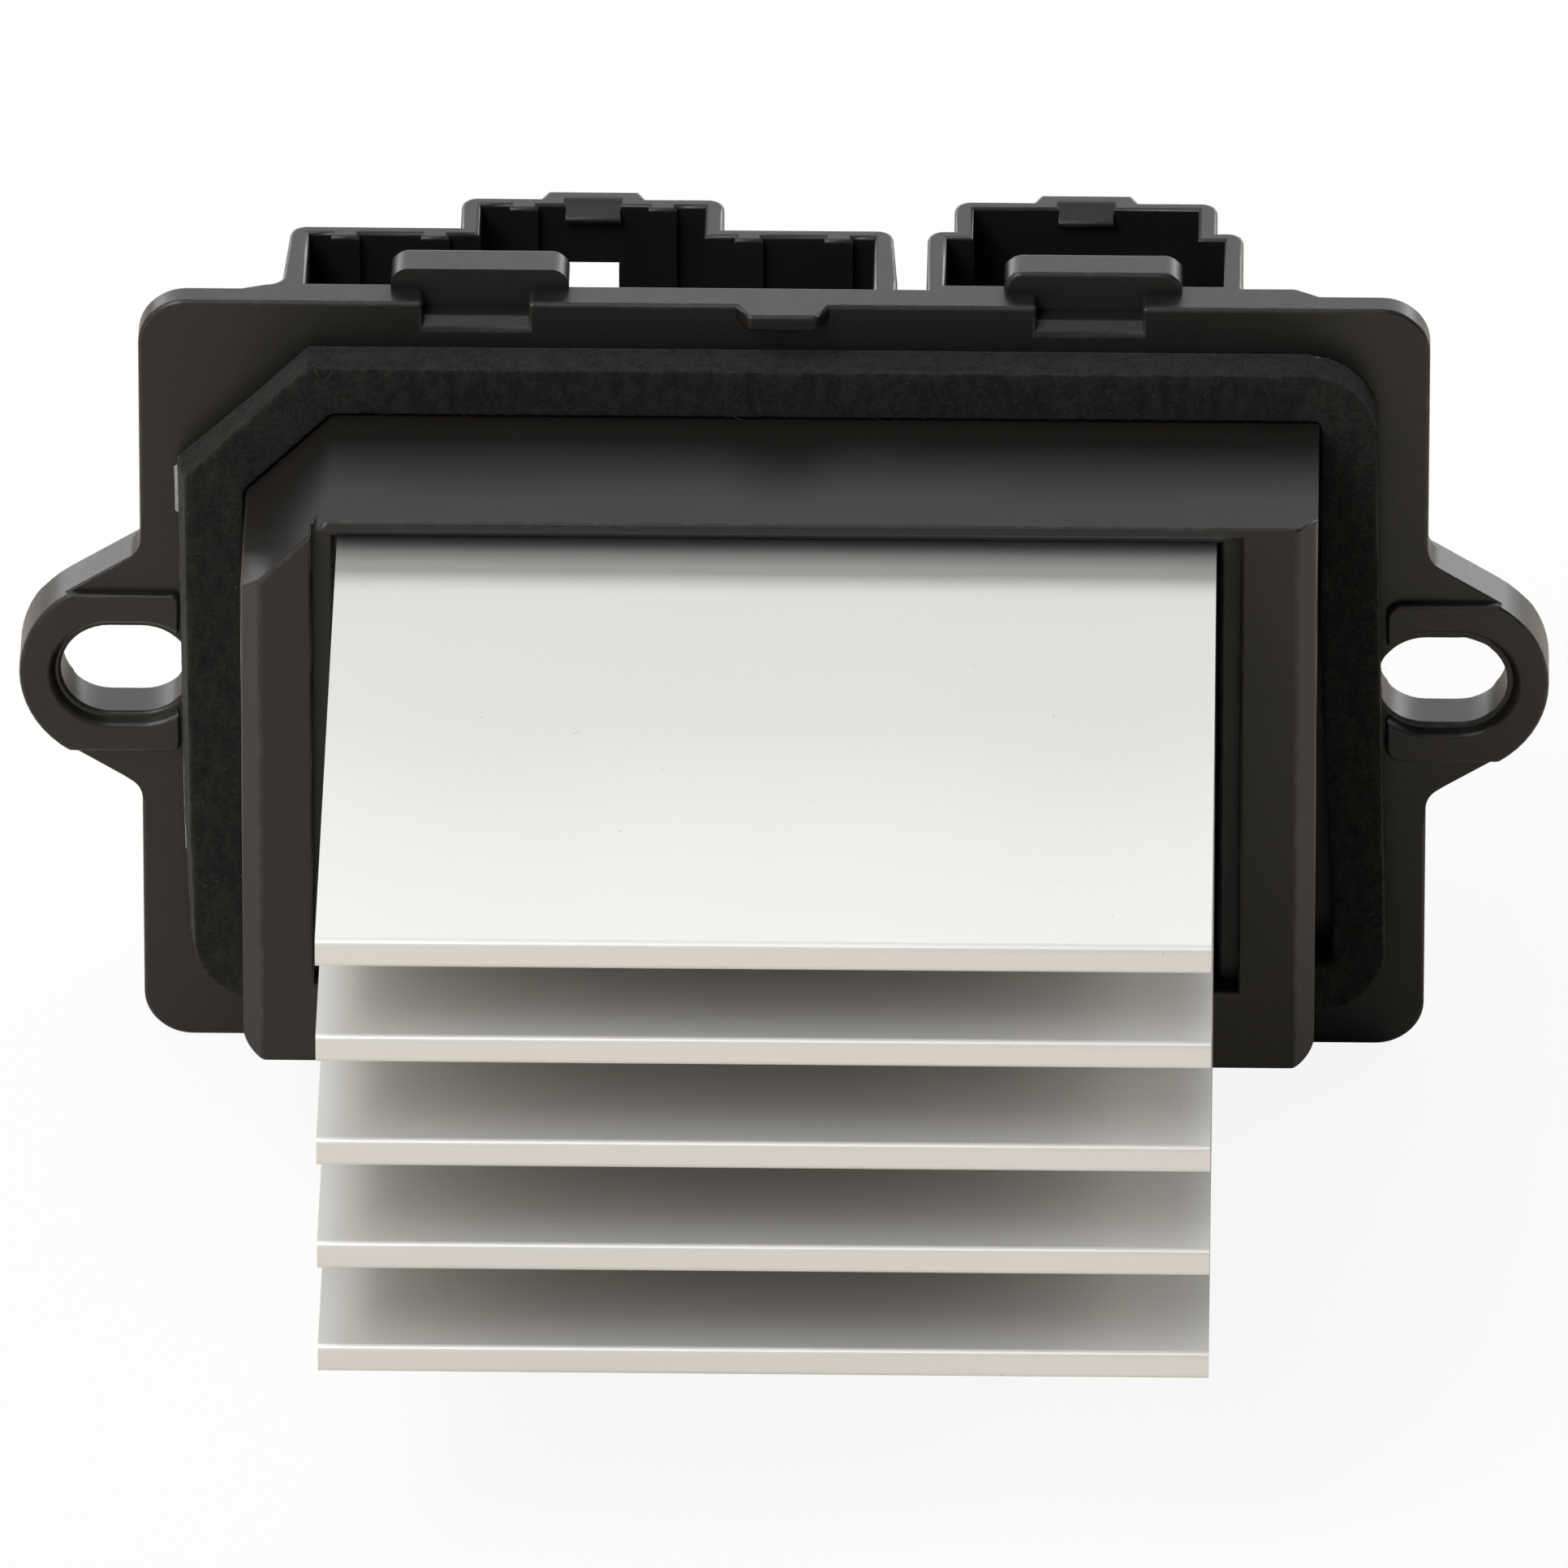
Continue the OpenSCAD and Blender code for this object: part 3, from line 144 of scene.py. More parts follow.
# %% Patterns of a finish
class Finish(Shader):
    """A material with one Principled shader, and short names for the patterns used below."""

    def __init__(self, name, **constants):
        self.material = bpy.data.materials.new(name)
        super().__init__(self.material)
        self.shader = self.tree.nodes["Principled BSDF"]
        for socket, value in constants.items():
            self.shader.inputs[socket.replace("_", " ")].default_value = value
        self.place = self.node("ShaderNodeTexCoord", out="Object")

    def noise(self, size, detail=3, rough=0.55, place=None):
        """Cloudy value from 0 to 1, whose patches are about `size` metres wide."""
        return self.node("ShaderNodeTexNoise", {}, {
            "Vector": place or self.place, "Scale": 1 / size, "Detail": detail, "Roughness": rough})

    def ramp(self, value, low, high):
        """0 below low, 1 above high, and smooth between them."""
        return self.node("ShaderNodeMapRange", {"interpolation_type": "SMOOTHSTEP"}, {
            "Value": value, "From Min": low, "From Max": high})

    def blend(self, factor, first, second):
        """Mix of two colours."""
        return self.node("ShaderNodeMix", {"data_type": "RGBA"},
                         {0: factor, 6: first, 7: second}, out=2)

    def stretch(self, x, y, z):
        """Object coordinates with each axis scaled, which draws a pattern out along one of them."""
        return self.node("ShaderNodeMapping", {}, {"Vector": self.place, "Scale": (x, y, z)})

    def bump(self, height, distance, strength=1.0):
        return self.node("ShaderNodeBump", {}, {
            "Strength": strength, "Distance": distance, "Height": height})

    def feed(self, **values):
        for socket, wire in values.items():
            self.tree.links.new(wire.socket, self.shader.inputs[socket.replace("_", " ")])
        return self.material


def shade(red, green, blue):
    """Colour of a finish, in linear light."""
    return (red, green, blue, 1.0)


def tones(colour, low, high):
    """A darker and a lighter form of a colour."""
    return [shade(*(min(1, c * share) for c in colour)) for share in (low, high)]


print("finish helper ready")

# %% [markdown]
# ## Moulded plastic
# The housing is glass-filled plastic, a warm dark grey with a spark-eroded grain of about a tenth
# of a millimetre. A bump of fine noise makes the grain, a slower noise lets colour and gloss drift
# a little, and a few pale specks stand for dust. The outer edges are painted paler in patches,
# partly as rubbed wear and partly as a painted highlight of the light they catch. The mesh says
# where they are, in a face attribute.

# %% Moulded plastic
def moulded_plastic(name, colour, gloss):
    f = Finish(name, Specular_IOR_Level=0.42)
    grain = f.noise(0.16 * MM, detail=3, rough=0.6)
    drift = f.noise(9 * MM, detail=2)
    dust = f.ramp(f.noise(0.30 * MM, detail=1), 0.76, 0.80)
    patch = f.ramp(f.noise(14 * MM, detail=1), 0.5, 0.7)
    # Outer rounds painted paler in patches: partly rubbed wear, partly a painted highlight on the
    # edges
    edge = f.node("ShaderNodeAttribute", {"attribute_name": "worn_and_highlit"}, out="Fac")
    rub_and_highlight = edge * f.ramp(f.noise(1.6 * MM, detail=4, rough=0.7), 0.44, 0.66)
    pale = shade(*(c * 2.0 + 0.02 for c in colour))
    body = f.blend(grain * 0.5 + drift * 0.5, *tones(colour, 0.86, 1.14))
    return f.feed(
        Base_Color=f.blend(dust * patch * 0.5 + rub_and_highlight * 0.45, body, pale),
        Roughness=grain * 0.14 + drift * 0.10 - rub_and_highlight * 0.08 + (gloss - 0.12),
        Normal=f.bump(grain, 0.02 * MM, 0.55))


housing_plastic = moulded_plastic("moulded_plastic_housing", (0.0092, 0.0078, 0.0064), 0.37)
cover_plastic = moulded_plastic("moulded_plastic_cover", (0.0104, 0.0089, 0.0075), 0.40)
print("plastic finishes:", housing_plastic.name, cover_plastic.name)

# %% [markdown]
# ## Anodised aluminium
# The comb is pressed through a die and then anodised, which leaves a pale satin skin with faint
# lines along the press direction, X. A noise stretched along X draws those lines. The skin is not
# a mirror, so the roughness is high. Small dark nicks show here and there, and the top fin has
# three handling marks, which are thin ellipses around a point on it.

# %% Anodised aluminium
# Place (x, y), half length and half width in millimetres, and turn in degrees, of each mark
TOP_MARKS = (
    ((-14.0, -43.9), (0.55, 0.08), 39),
    ((-20.8, -41.8), (0.20, 0.12), 10),
    ((-17.1, -41.2), (0.16, 0.05), 55))


def anodised_aluminium():
    f = Finish("anodised_aluminium", Metallic=0.66, Specular_IOR_Level=0.3)
    lines = f.noise(0.22 * MM, detail=2, place=f.stretch(0.02, 1, 1))
    satin = f.noise(0.10 * MM, detail=2)
    cloud = f.noise(16 * MM, detail=2)
    marks = f.ramp(f.noise(0.40 * MM, detail=0), 0.885, 0.91) * 0.5
    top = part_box("heat_sink")[1].z
    for (x, y), (half_length, half_width), turn in TOP_MARKS:
        spot = f.node("ShaderNodeMapping", {"vector_type": "TEXTURE"}, {
            "Vector": f.place, "Location": (x * MM, y * MM, top),
            "Rotation": (0, 0, math.radians(turn)),
            "Scale": (half_length * MM, half_width * MM, 1 * MM)})
        reach = f.node("ShaderNodeVectorMath", {"operation": "LENGTH"}, {0: spot}, out="Value")
        marks = marks + (1 - f.ramp(reach, 0.4, 1.0)) * 0.3
    tone = lines * 0.35 + satin * 0.35 + cloud * 0.3
    skin = f.blend(tone, shade(0.70, 0.693, 0.670), shade(0.77, 0.763, 0.738))
    return f.feed(
        Base_Color=f.blend(marks, skin, shade(0.20, 0.19, 0.18)),
        Roughness=tone * 0.12 + 0.38,
        Normal=f.bump(lines * 0.6 + satin * 0.4, 0.006 * MM, 0.5))


comb_metal = anodised_aluminium()
print("metal finish:", comb_metal.name)

# %% [markdown]
# ## Foam, its fibres and its film
# The gasket is black foam with a felted skin. Its colour is mottled at the size of its cells, and
# its gloss is almost nil. The loose fibres on it are a little paler than the foam. A pale adhesive
# film holds it on the flange, and the film's cut edge shows in a few places.

# %% Foam
def felted_foam():
    f = Finish("felted_foam", Specular_IOR_Level=0.12, Sheen_Weight=0.06, Sheen_Roughness=0.6)
    cells = f.noise(0.28 * MM, detail=4, rough=0.7)
    mat = f.noise(0.9 * MM, detail=3, place=f.stretch(1, 1, 0.45))
    lint = f.ramp(f.noise(0.30 * MM, detail=2), 0.66, 0.76)
    mottle = f.ramp(cells * 0.6 + mat * 0.4, 0.36, 0.64)
    body = f.blend(mottle, shade(0.0040, 0.0037, 0.0031), shade(0.0175, 0.0164, 0.0142))
    return f.feed(
        Base_Color=f.blend(lint * 0.45, body, shade(0.060, 0.057, 0.050)),
        Roughness=cells * 0.1 + 0.88,
        Normal=f.bump(cells * 0.6 + mat * 0.4, 0.10 * MM, 0.8))


def loose_fibre():
    f = Finish("loose_fibre", Specular_IOR_Level=0.2)
    tint = f.noise(2.5 * MM, detail=1)
    dark, pale = shade(0.014, 0.0132, 0.0115), shade(0.060, 0.057, 0.050)
    return f.feed(
        Base_Color=f.blend(f.ramp(tint, 0.35, 0.7), dark, pale),
        Roughness=tint * 0.2 + 0.6)


def adhesive():
    f = Finish("adhesive_film", Specular_IOR_Level=0.5)
    cloud = f.noise(0.5 * MM, detail=3)
    return f.feed(
        Base_Color=f.blend(cloud, shade(0.24, 0.25, 0.25), shade(0.46, 0.46, 0.44)),
        Roughness=cloud * 0.2 + 0.25,
        Normal=f.bump(cloud, 0.02 * MM, 0.5))


foam, fibre, film = felted_foam(), loose_fibre(), adhesive()
print("foam finishes:", foam.name, fibre.name, film.name)

# %% [markdown]
# ## Small metal and board finishes
# Blades, leads and screws are plated, so they share one recipe with their own colours: streaks
# along the drawing direction, Z, and a gloss that drifts. Moulding compound, silicone, ferrite and
# the board's green lacquer share a second recipe, a mottled matt body with a fine bump.

# %% Small finishes
def plated(name, colour, rough):
    f = Finish(name, Metallic=1.0)
    streak = f.noise(0.12 * MM, detail=2, place=f.stretch(1, 1, 0.08))
    bloom = f.noise(1.6 * MM, detail=3)
    tone = streak * 0.5 + bloom * 0.5
    return f.feed(
        Base_Color=f.blend(tone, *tones(colour, 0.8, 1.12)),
        Roughness=tone * 0.2 + (rough - 0.1),
        Normal=f.bump(streak, 0.004 * MM, 0.5))


def matt(name, colour, rough, size=0.25):
    f = Finish(name, Specular_IOR_Level=0.4)
    mottle = f.noise(size * MM, detail=4, rough=0.65)
    cloud = f.noise(size * 20 * MM, detail=2)
    tone = mottle * 0.6 + cloud * 0.4
    return f.feed(
        Base_Color=f.blend(tone, *tones(colour, 0.75, 1.25)),
        Roughness=mottle * 0.2 + (rough - 0.1),
        Normal=f.bump(mottle, 0.02 * MM, 0.6))


tinned = plated("tinned_metal", (0.66, 0.65, 0.61), 0.34)
screw_zinc = plated("screw_zinc", (0.56, 0.56, 0.55), 0.36)
copper = plated("enamelled_copper", (0.58, 0.22, 0.08), 0.30)
strap_alloy = plated("resistance_alloy", (0.46, 0.35, 0.26), 0.42)
board_green = matt("board_lacquer", (0.012, 0.085, 0.035), 0.38)
compound = matt("moulding_compound", (0.014, 0.014, 0.015), 0.55)
silicone = matt("filled_silicone", (0.42, 0.41, 0.36), 0.75)
sleeve = matt("shrink_sleeve", (0.012, 0.014, 0.024), 0.30)
ferrite = matt("sintered_ferrite", (0.028, 0.028, 0.031), 0.62)
ceramic = matt("chip_ceramic", (0.30, 0.20, 0.11), 0.50)
print("small finishes: 10")

# %% [markdown]
# ## Pieces that keep their CAD shape
# What sits in the box behind the flange is already right in the solids: the board, transistors,
# screws, coil and leads. Each of them only takes its finish.

# %% Dress the inner solids
DRESS = {
    "circuit_board": board_green, "thermal_pad_left": silicone, "thermal_pad_right": silicone,
    "power_transistor_left": compound, "power_transistor_right": compound,
    "transistor_leads_left": tinned, "transistor_leads_right": tinned,
    "heat_sink_screws": screw_zinc, "transistor_screws": screw_zinc, "board_screws": screw_zinc,
    "supply_terminal": tinned, "ground_terminal": tinned, "signal_pins": tinned,
    "motor_terminal_positive": tinned, "motor_terminal_negative": tinned,
    "filter_capacitor": sleeve, "capacitor_leads": tinned, "choke_core": ferrite,
    "choke_winding": copper, "shunt_resistor": strap_alloy, "control_chip": compound,
    "chip_leads": tinned, "surge_diode": compound, "chip_resistors": compound,
    "ceramic_capacitors": ceramic, "cover_screws": screw_zinc,
}


def coat(obj, material):
    obj.data.materials.clear()
    obj.data.materials.append(material)


for name, material in DRESS.items():
    coat(nodes[name], material)
print(f"{len(DRESS)} inner solids dressed")

# %% [markdown]
# ## Plain meshes from modifiers
# Four helpers serve all the pieces below. `link` puts new data into the scene. `settle` turns an
# object with modifiers into a plain mesh, because a finished piece must not depend on a modifier.
# `merged_copy` welds the points that a solid's mesh holds twice, and `face_outward` turns the faces
# of a new mesh to its outside, since a face that points inwards would be shaded wrongly.

# %% Mesh helpers
def link(name, data):
    obj = bpy.data.objects.new(name, data)
    bpy.context.scene.collection.objects.link(obj)
    return obj


def settle(obj):
    """Turns an object with modifiers into a plain mesh."""
    graph = bpy.context.evaluated_depsgraph_get()
    mesh = bpy.data.meshes.new_from_object(obj.evaluated_get(graph))
    obj.modifiers.clear()
    obj.data = mesh
    return obj


WELD = 0.002 * MM


def merged_copy(node):
    """A solid's mesh with its doubled points welded, to be freed after use."""
    bm = bmesh.new()
    bm.from_mesh(nodes[node].data)
    bmesh.ops.remove_doubles(bm, verts=bm.verts, dist=WELD)
    return bm


def face_outward(mesh):
    """Turns all faces outwards, and says whether the mesh is closed."""
    bm = bmesh.new()
    bm.from_mesh(mesh)
    bmesh.ops.recalc_face_normals(bm, faces=bm.faces)
    bm.to_mesh(mesh)
    closed = all(len(e.link_faces) == 2 for e in bm.edges)
    bm.free()
    return closed


print("mesh helpers ready, points within", WELD / MM, "mm are welded")

# %% [markdown]
# ## Two places that are softer than the solid
# On the real moulding the groove beside the collar's lip runs out at the slanted corner, and the
# wall round each mounting slot slopes towards the slot. The solid has them straight and upright.
# On a copy of its mesh, the few points that lie there are found by their place and moved.

# %% Small changes on a copy
GROOVE_X, GROOVE_HALF, GROOVE_FLOOR = -33.4 * MM, 0.4 * MM, -16.4 * MM
GROOVE_TOP, GROOVE_END, FLOOR_NEAR = 21 * MM, -18.35 * MM, 0.1 * MM
SLOT_X, SLOT_HALF = 47.5 * MM, 1.15 * MM
RECESS_RIM, RECESS_FOOT = 4.3 * MM, 3.95 * MM
FOOT_NEAR, RIM_NEAR = 0.05 * MM, 0.06 * MM


def fade_groove(bm):
    """Brings the floor of the groove beside the lip up to the front, where it meets the slant."""
    for v in bm.verts:
        at_top = abs(v.co.x - GROOVE_X) < GROOVE_HALF and v.co.z > GROOVE_TOP
        if at_top and abs(v.co.y - GROOVE_FLOOR) < FLOOR_NEAR:
            v.co.y = GROOVE_END


def slope_recess(bm):
    """Slopes the wall round each slot, so its foot lies near the slot's edge and its rim stays."""
    for v in bm.verts:
        aside = abs(v.co.x) - SLOT_X
        straight = max(-SLOT_HALF, min(SLOT_HALF, aside))
        spoke = Vector((aside - straight, v.co.z))
        if abs(v.co.y) < FOOT_NEAR and abs(spoke.length - RECESS_RIM) < RIM_NEAR:
            spoke *= RECESS_FOOT / RECESS_RIM
            v.co.x = math.copysign(SLOT_X + straight + spoke.x, v.co.x)
            v.co.z = spoke.y


print("recess wall slopes over", round((RECESS_RIM - RECESS_FOOT) / MM, 2), "mm")

# %% [markdown]
# ## Normals that keep flat faces flat
# A rounded edge looks right if light runs over it smoothly while the faces beside it stay flat, so
# each corner of each face gets its own normal. A large face uses its own. A facet of a curve takes
# the mean of the facets near it. A round begins and ends with the normals of the faces it joins.
# The collar's slanted corner is soft on the real part, so its normal turns evenly to the top's.

# %% Corner normals
ROUND = 1
SLANT_LEAN, SLANT_AREA, FLAT_AREA = 0.3, 40 * MM * MM, 25 * MM * MM
CURVE_TURN, ROUND_TURN = math.radians(16), math.radians(50)


def is_slant(normal, area):
    """True for the slanted left corner of the collar, which runs softly into its top."""
    return normal.x < -SLANT_LEAN and normal.z > SLANT_LEAN and area > SLANT_AREA


def faces_around(mesh):
    around = [[] for v in mesh.vertices]
    for f in mesh.polygons:
        for v in f.vertices:
            around[v].append(f)
    return around


def slant_normals(mesh, f):
    across = [mesh.vertices[v].co.x for v in f.vertices]
    shares = [(x - min(across)) / (max(across) - min(across)) for x in across]
    return [f.normal.lerp(Vector((0, 0, 1)), share).normalized() for share in shares]


def set_normals(mesh):
    around = faces_around(mesh)
    normals = []
    for f in mesh.polygons:
        reach = math.cos(ROUND_TURN if f.material_index == ROUND else CURVE_TURN)
        if is_slant(f.normal, f.area):
            normals += slant_normals(mesh, f)
            continue
        for v in f.vertices:
            near = [g for g in around[v]
                    if g.material_index != ROUND and g.normal.dot(f.normal) > reach]
            near = near or [g for g in around[v] if g.material_index == ROUND] or [f]
            near = [f] if f.area > FLAT_AREA else near
            normals.append(sum((g.normal * g.area for g in near), Vector()).normalized())
    mesh.normals_split_custom_set(normals)


print("faces over", round(FLAT_AREA / MM / MM), "square mm stay flat")

# %% [markdown]
# ## Where the edges are painted paler
# The plastic's finish paints the outer edges paler, partly as rubbed wear and partly as a painted
# highlight, and asks the mesh where those are. A round is an outer edge if the faces beside it
# fall away behind it.

# %% Worn edges with a painted highlight
def mark_wear_and_highlight(mesh):
    """Gives the rounds on outer edges 1 in a face attribute, where the finish paints wear and a
    highlight, and all other faces 0.
    """
    owners = {}
    for face in mesh.polygons:
        for key in face.edge_keys:
            owners.setdefault(key, []).append(face)
    values = []
    for face in mesh.polygons:
        others = [other for key in face.edge_keys for other in owners[key]]
        falls = sum((other.center - face.center).dot(face.normal) for other in others) < 0
        values.append(float(face.material_index == ROUND and falls))
    mesh.attributes.new("worn_and_highlit", "FLOAT", "FACE").data.foreach_set("value", values)
    mesh.polygons.foreach_set("material_index", [0] * len(mesh.polygons))


print("worn edges are read from the rounds")

# %% [markdown]
# ## Which edges are soft
# No moulded edge is knife sharp: a mould's corners are rounded by about a third of a millimetre,
# and those rounds catch the light as thin bright lines. A copy of the CAD mesh is welded, and its
# flat areas are joined into single faces, so that only real edges are left. The outer edges are
# rounded. Edges that run up the deep sockets stay sharp.

# %% Edges to round
SOCKET_FRONT, STEEP, LEVEL = 3.5 * MM, 0.8, 0.99
FLAT_TURN = math.radians(0.6)


def plain_copy(node):
    """A solid's mesh with its flat areas joined and its small changes made."""
    bm = merged_copy(node)
    bmesh.ops.dissolve_limit(bm, angle_limit=FLAT_TURN, verts=bm.verts, edges=bm.edges)
    fade_groove(bm)
    slope_recess(bm)
    for f in bm.faces:
        f.smooth = True
    return bm


def is_rounded(e):
    """True for an outer edge, unless it runs up a socket or joins the slant to the collar's top."""
    along = e.verts[1].co - e.verts[0].co
    up_a_socket = abs(along.z) > STEEP * along.length and e.verts[0].co.y > SOCKET_FRONT
    on_slant = any(is_slant(f.normal, f.calc_area()) for f in e.link_faces)
    runs_on = on_slant and any(f.normal.z > LEVEL for f in e.link_faces)
    return e.calc_face_angle_signed(0) > CURVE_TURN and not up_a_socket and not runs_on


print("edges that turn by more than", round(math.degrees(CURVE_TURN)), "degrees are rounded")

# %% [markdown]
# ## Rounds that do not fold
# A Bevel modifier makes the rounds. Where a detail is too small for their width, the bevel would
# fold over itself, and the modifier's own clamp would make every round too small. So the folds are
# looked for, and the edges beside them get a smaller share of the width, shortest edges first,
# until no fold is left.

# %% Soft-edged copies
FOLD_TURN = math.radians(150)
MOST_ROUNDS, SHORT_EDGE = 20, 0.4 * MM
SMALLER, SMALLEST = 0.7, 0.3


def find_folds(obj):
    """Middle points of the edges where an evaluated mesh turns back on itself."""
    bm = bmesh.new()
    bm.from_object(obj, bpy.context.evaluated_depsgraph_get())
    bmesh.ops.triangulate(bm, faces=bm.faces, quad_method="FIXED", ngon_method="EAR_CLIP")
    spots = [(e.verts[0].co + e.verts[1].co) / 2 for e in bm.edges if e.calc_face_angle(0) > FOLD_TURN]
    bm.free()
    folds = kdtree.KDTree(len(spots))
    for i, spot in enumerate(spots):
        folds.insert(spot, i)
    folds.balance()
    return folds, len(spots)


def soft_copy(node, name, width, segments=2):
    bm = plain_copy(node)
    share = bm.edges.layers.float.new("bevel_weight_edge")
    for e in bm.edges:
        e[share] = float(is_rounded(e))
    obj = link(name, bpy.data.meshes.new(name))
    edge = obj.modifiers.new("soft_edges", "BEVEL")
    edge.width, edge.segments, edge.limit_method = width, segments, "WEIGHT"
    edge.miter_outer, edge.use_clamp_overlap = "MITER_ARC", False
    edge.material = ROUND
    for slot in range(ROUND + 1):
        obj.data.materials.append(None)
    for turn in range(MOST_ROUNDS):
        bm.to_mesh(obj.data)
        folds, left = find_folds(obj)
        if not left:
            break
        longest = SHORT_EDGE * 2 ** (turn // 2)
        for e in bm.edges:
            spots = [v.co for v in e.verts] + [(e.verts[0].co + e.verts[1].co) / 2]
            near = min(folds.find(spot)[2] for spot in spots) < 2 * width
            if near and e.calc_length() < longest:
                e[share] = e[share] * SMALLER if e[share] > SMALLEST else 0.0
    bm.to_mesh(obj.data)
    bm.free()
    settle(obj)
    set_normals(obj.data)
    mark_wear_and_highlight(obj.data)
    print(f"{name}: {len(obj.data.polygons)} faces, {left} folds after {turn} rounds")
    return obj


print("folds are looked for up to", MOST_ROUNDS, "times")

# %% [markdown]
# ## The housing and its cover
# The housing is one moulding: flange, ears, collar, sockets and hooks. The rear cover is a second
# one, with slightly smaller rounds. Each soft-edged copy takes the place of its solid.

# %% Housing and cover
housing = soft_copy("housing", "housing_moulding", 0.3 * MM)
coat(housing, housing_plastic)
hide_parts("housing")
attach(housing, "root")

cover = soft_copy("rear_cover", "cover_moulding", 0.25 * MM)
coat(cover, cover_plastic)
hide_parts("rear_cover")
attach(cover, "root")

# %% [markdown]
# ## Node trees from Python
# The comb and the loose fibres follow a rule each, and Geometry Nodes is Blender's way to write a
# rule down. The class `Nodes` builds such a tree: `node` adds any kind of node, `math` adds a sum,
# and square brackets name an input of the tree. `grow` runs it once and keeps the plain mesh.

# %% Geometry Nodes helper
class Nodes:
    """A Geometry Nodes tree that is built from Python, with named inputs."""

    def __init__(self, name, inputs):
        self.tree = bpy.data.node_groups.new(name, "GeometryNodeTree")
        self.ids = {}
        for key, kind in inputs.items():
            socket = self.tree.interface.new_socket(key, in_out="INPUT", socket_type=kind)
            self.ids[key] = socket.identifier
        self.tree.interface.new_socket("Geometry", in_out="OUTPUT", socket_type="NodeSocketGeometry")
        self.entry = self.tree.nodes.new("NodeGroupInput")
        self.exit = self.tree.nodes.new("NodeGroupOutput")

    def __getitem__(self, key):
        return self.entry.outputs[key]

    def node(self, kind, settings=None, inputs=None, out=0):
        made = self.tree.nodes.new(kind)
        for key, value in (settings or {}).items():
            setattr(made, key, value)
        for key, value in (inputs or {}).items():
            if isinstance(value, bpy.types.NodeSocket):
                self.tree.links.new(value, made.inputs[key])
            elif isinstance(value, list):
                for wire in value:
                    self.tree.links.new(wire, made.inputs[key])
            else:
                made.inputs[key].default_value = value
        return made.outputs[out]

    def math(self, operation, first, second=0.0):
        return self.node("ShaderNodeMath", {"operation": operation}, {0: first, 1: second})

    def end(self, geometry, material):
        solid = self.node("GeometryNodeRealizeInstances", {}, {"Geometry": geometry})
        done = self.node("GeometryNodeSetMaterial", {}, {"Geometry": solid, "Material": material})
        self.tree.links.new(done, self.exit.inputs["Geometry"])

    def grow(self, name, **values):
        """Runs the tree on an empty mesh, or on the mesh given as base, and keeps the plain result."""
        base = values.pop("base", None)
        obj = link(name, base or bpy.data.meshes.new(name))
        run = obj.modifiers.new(self.tree.name, "NODES")
        run.node_group = self.tree
        for key, value in values.items():
            run[self.ids[key]] = value
        settle(obj)
        print(f"{name}: {len(obj.data.polygons)} faces")
        return obj


print("node tree helper ready")

# %% [markdown]
# ## The comb's outline
# The heat sink is one profile, pressed out along X and sawn to length. The profile follows a rule:
# each fin adds four corners, so a line of points is moved into place by its index alone. The tips of
# the fins and the roots between them have a fillet radius each.

# %% Comb outline
def comb_outline(t):
    """Closed row of corners, four to a fin and two at the back, and the fillet radius of each."""
    count = t.math("MULTIPLY", t["Fins"], 4.0)
    line = t.node("GeometryNodeMeshLine", {"mode": "OFFSET"}, {"Count": t.math("ADD", count, 2.0)})
    index = t.node("GeometryNodeInputIndex")
    fin = t.math("FLOOR", t.math("DIVIDE", index, 4.0))
    step = t.math("SUBTRACT", index, t.math("MULTIPLY", fin, 4.0))
    at_tip = t.math("COMPARE", step, 1.5)
    t.tree.nodes[-1].inputs[2].default_value = 0.75
    upper = t.math("GREATER_THAN", step, 1.5)
    back = t.math("GREATER_THAN", index, t.math("SUBTRACT", count, 0.5))
    first_back = t.math("LESS_THAN", index, t.math("ADD", count, 0.5))
    blade = t.math("SUBTRACT", t["Reach"], t["Base"])
    depth = t.math("ADD", t["Base"], t.math("MULTIPLY", at_tip, blade))
    front_y = t.math("MULTIPLY", depth, -1.0)
    y = t.math("MULTIPLY", front_y, t.math("SUBTRACT", 1.0, back))
    top_fin = t.math("GREATER_THAN", fin, t.math("SUBTRACT", t["Fins"], 1.5))
    foot = t.node("GeometryNodeSwitch", {"input_type": "FLOAT"}, {
        "Switch": top_fin, "False": t.math("MULTIPLY", fin, t["Pitch"]),
        "True": t.math("SUBTRACT", t["Height"], t["Thickness"])})
    rise = t.math("ADD", foot, t.math("MULTIPLY", upper, t["Thickness"]))
    high = t.math("MULTIPLY", first_back, t["Height"])
    z = t.node("GeometryNodeSwitch", {"input_type": "FLOAT"}, {
        "Switch": back, "False": rise, "True": high})
    spot = t.node("ShaderNodeCombineXYZ", {}, {"X": t.math("ADD", z, t["Bottom"]), "Y": y})
    line = t.node("GeometryNodeSetPosition", {}, {"Geometry": line, "Position": spot})
    curve = t.node("GeometryNodeMeshToCurve", {}, {"Mesh": line})
    curve = t.node("GeometryNodeSetSplineCyclic", {}, {"Geometry": curve, "Cyclic": True})
    inner = t.math("MULTIPLY", t.math("GREATER_THAN", index, 0.5),
                   t.math("LESS_THAN", index, t.math("SUBTRACT", count, 1.5)))
    at_root = t.math("MULTIPLY", inner, t.math("SUBTRACT", 1.0, at_tip))
    at_front = t.math("MULTIPLY", at_tip, t.math("SUBTRACT", 1.0, back))
    radius = t.math("ADD", t.math("MULTIPLY", at_root, t["Root radius"]),
                    t.math("MULTIPLY", at_front, t["Tip radius"]))
    return curve, radius


print("comb outline: four corners to a fin, two at the back")

# %% [markdown]
# ## The comb of fins
# The outline is filleted and filled, and the face is drawn out along X, as the press does it. Length,
# height and reach come from the frame, so the comb fills the box of its solid.

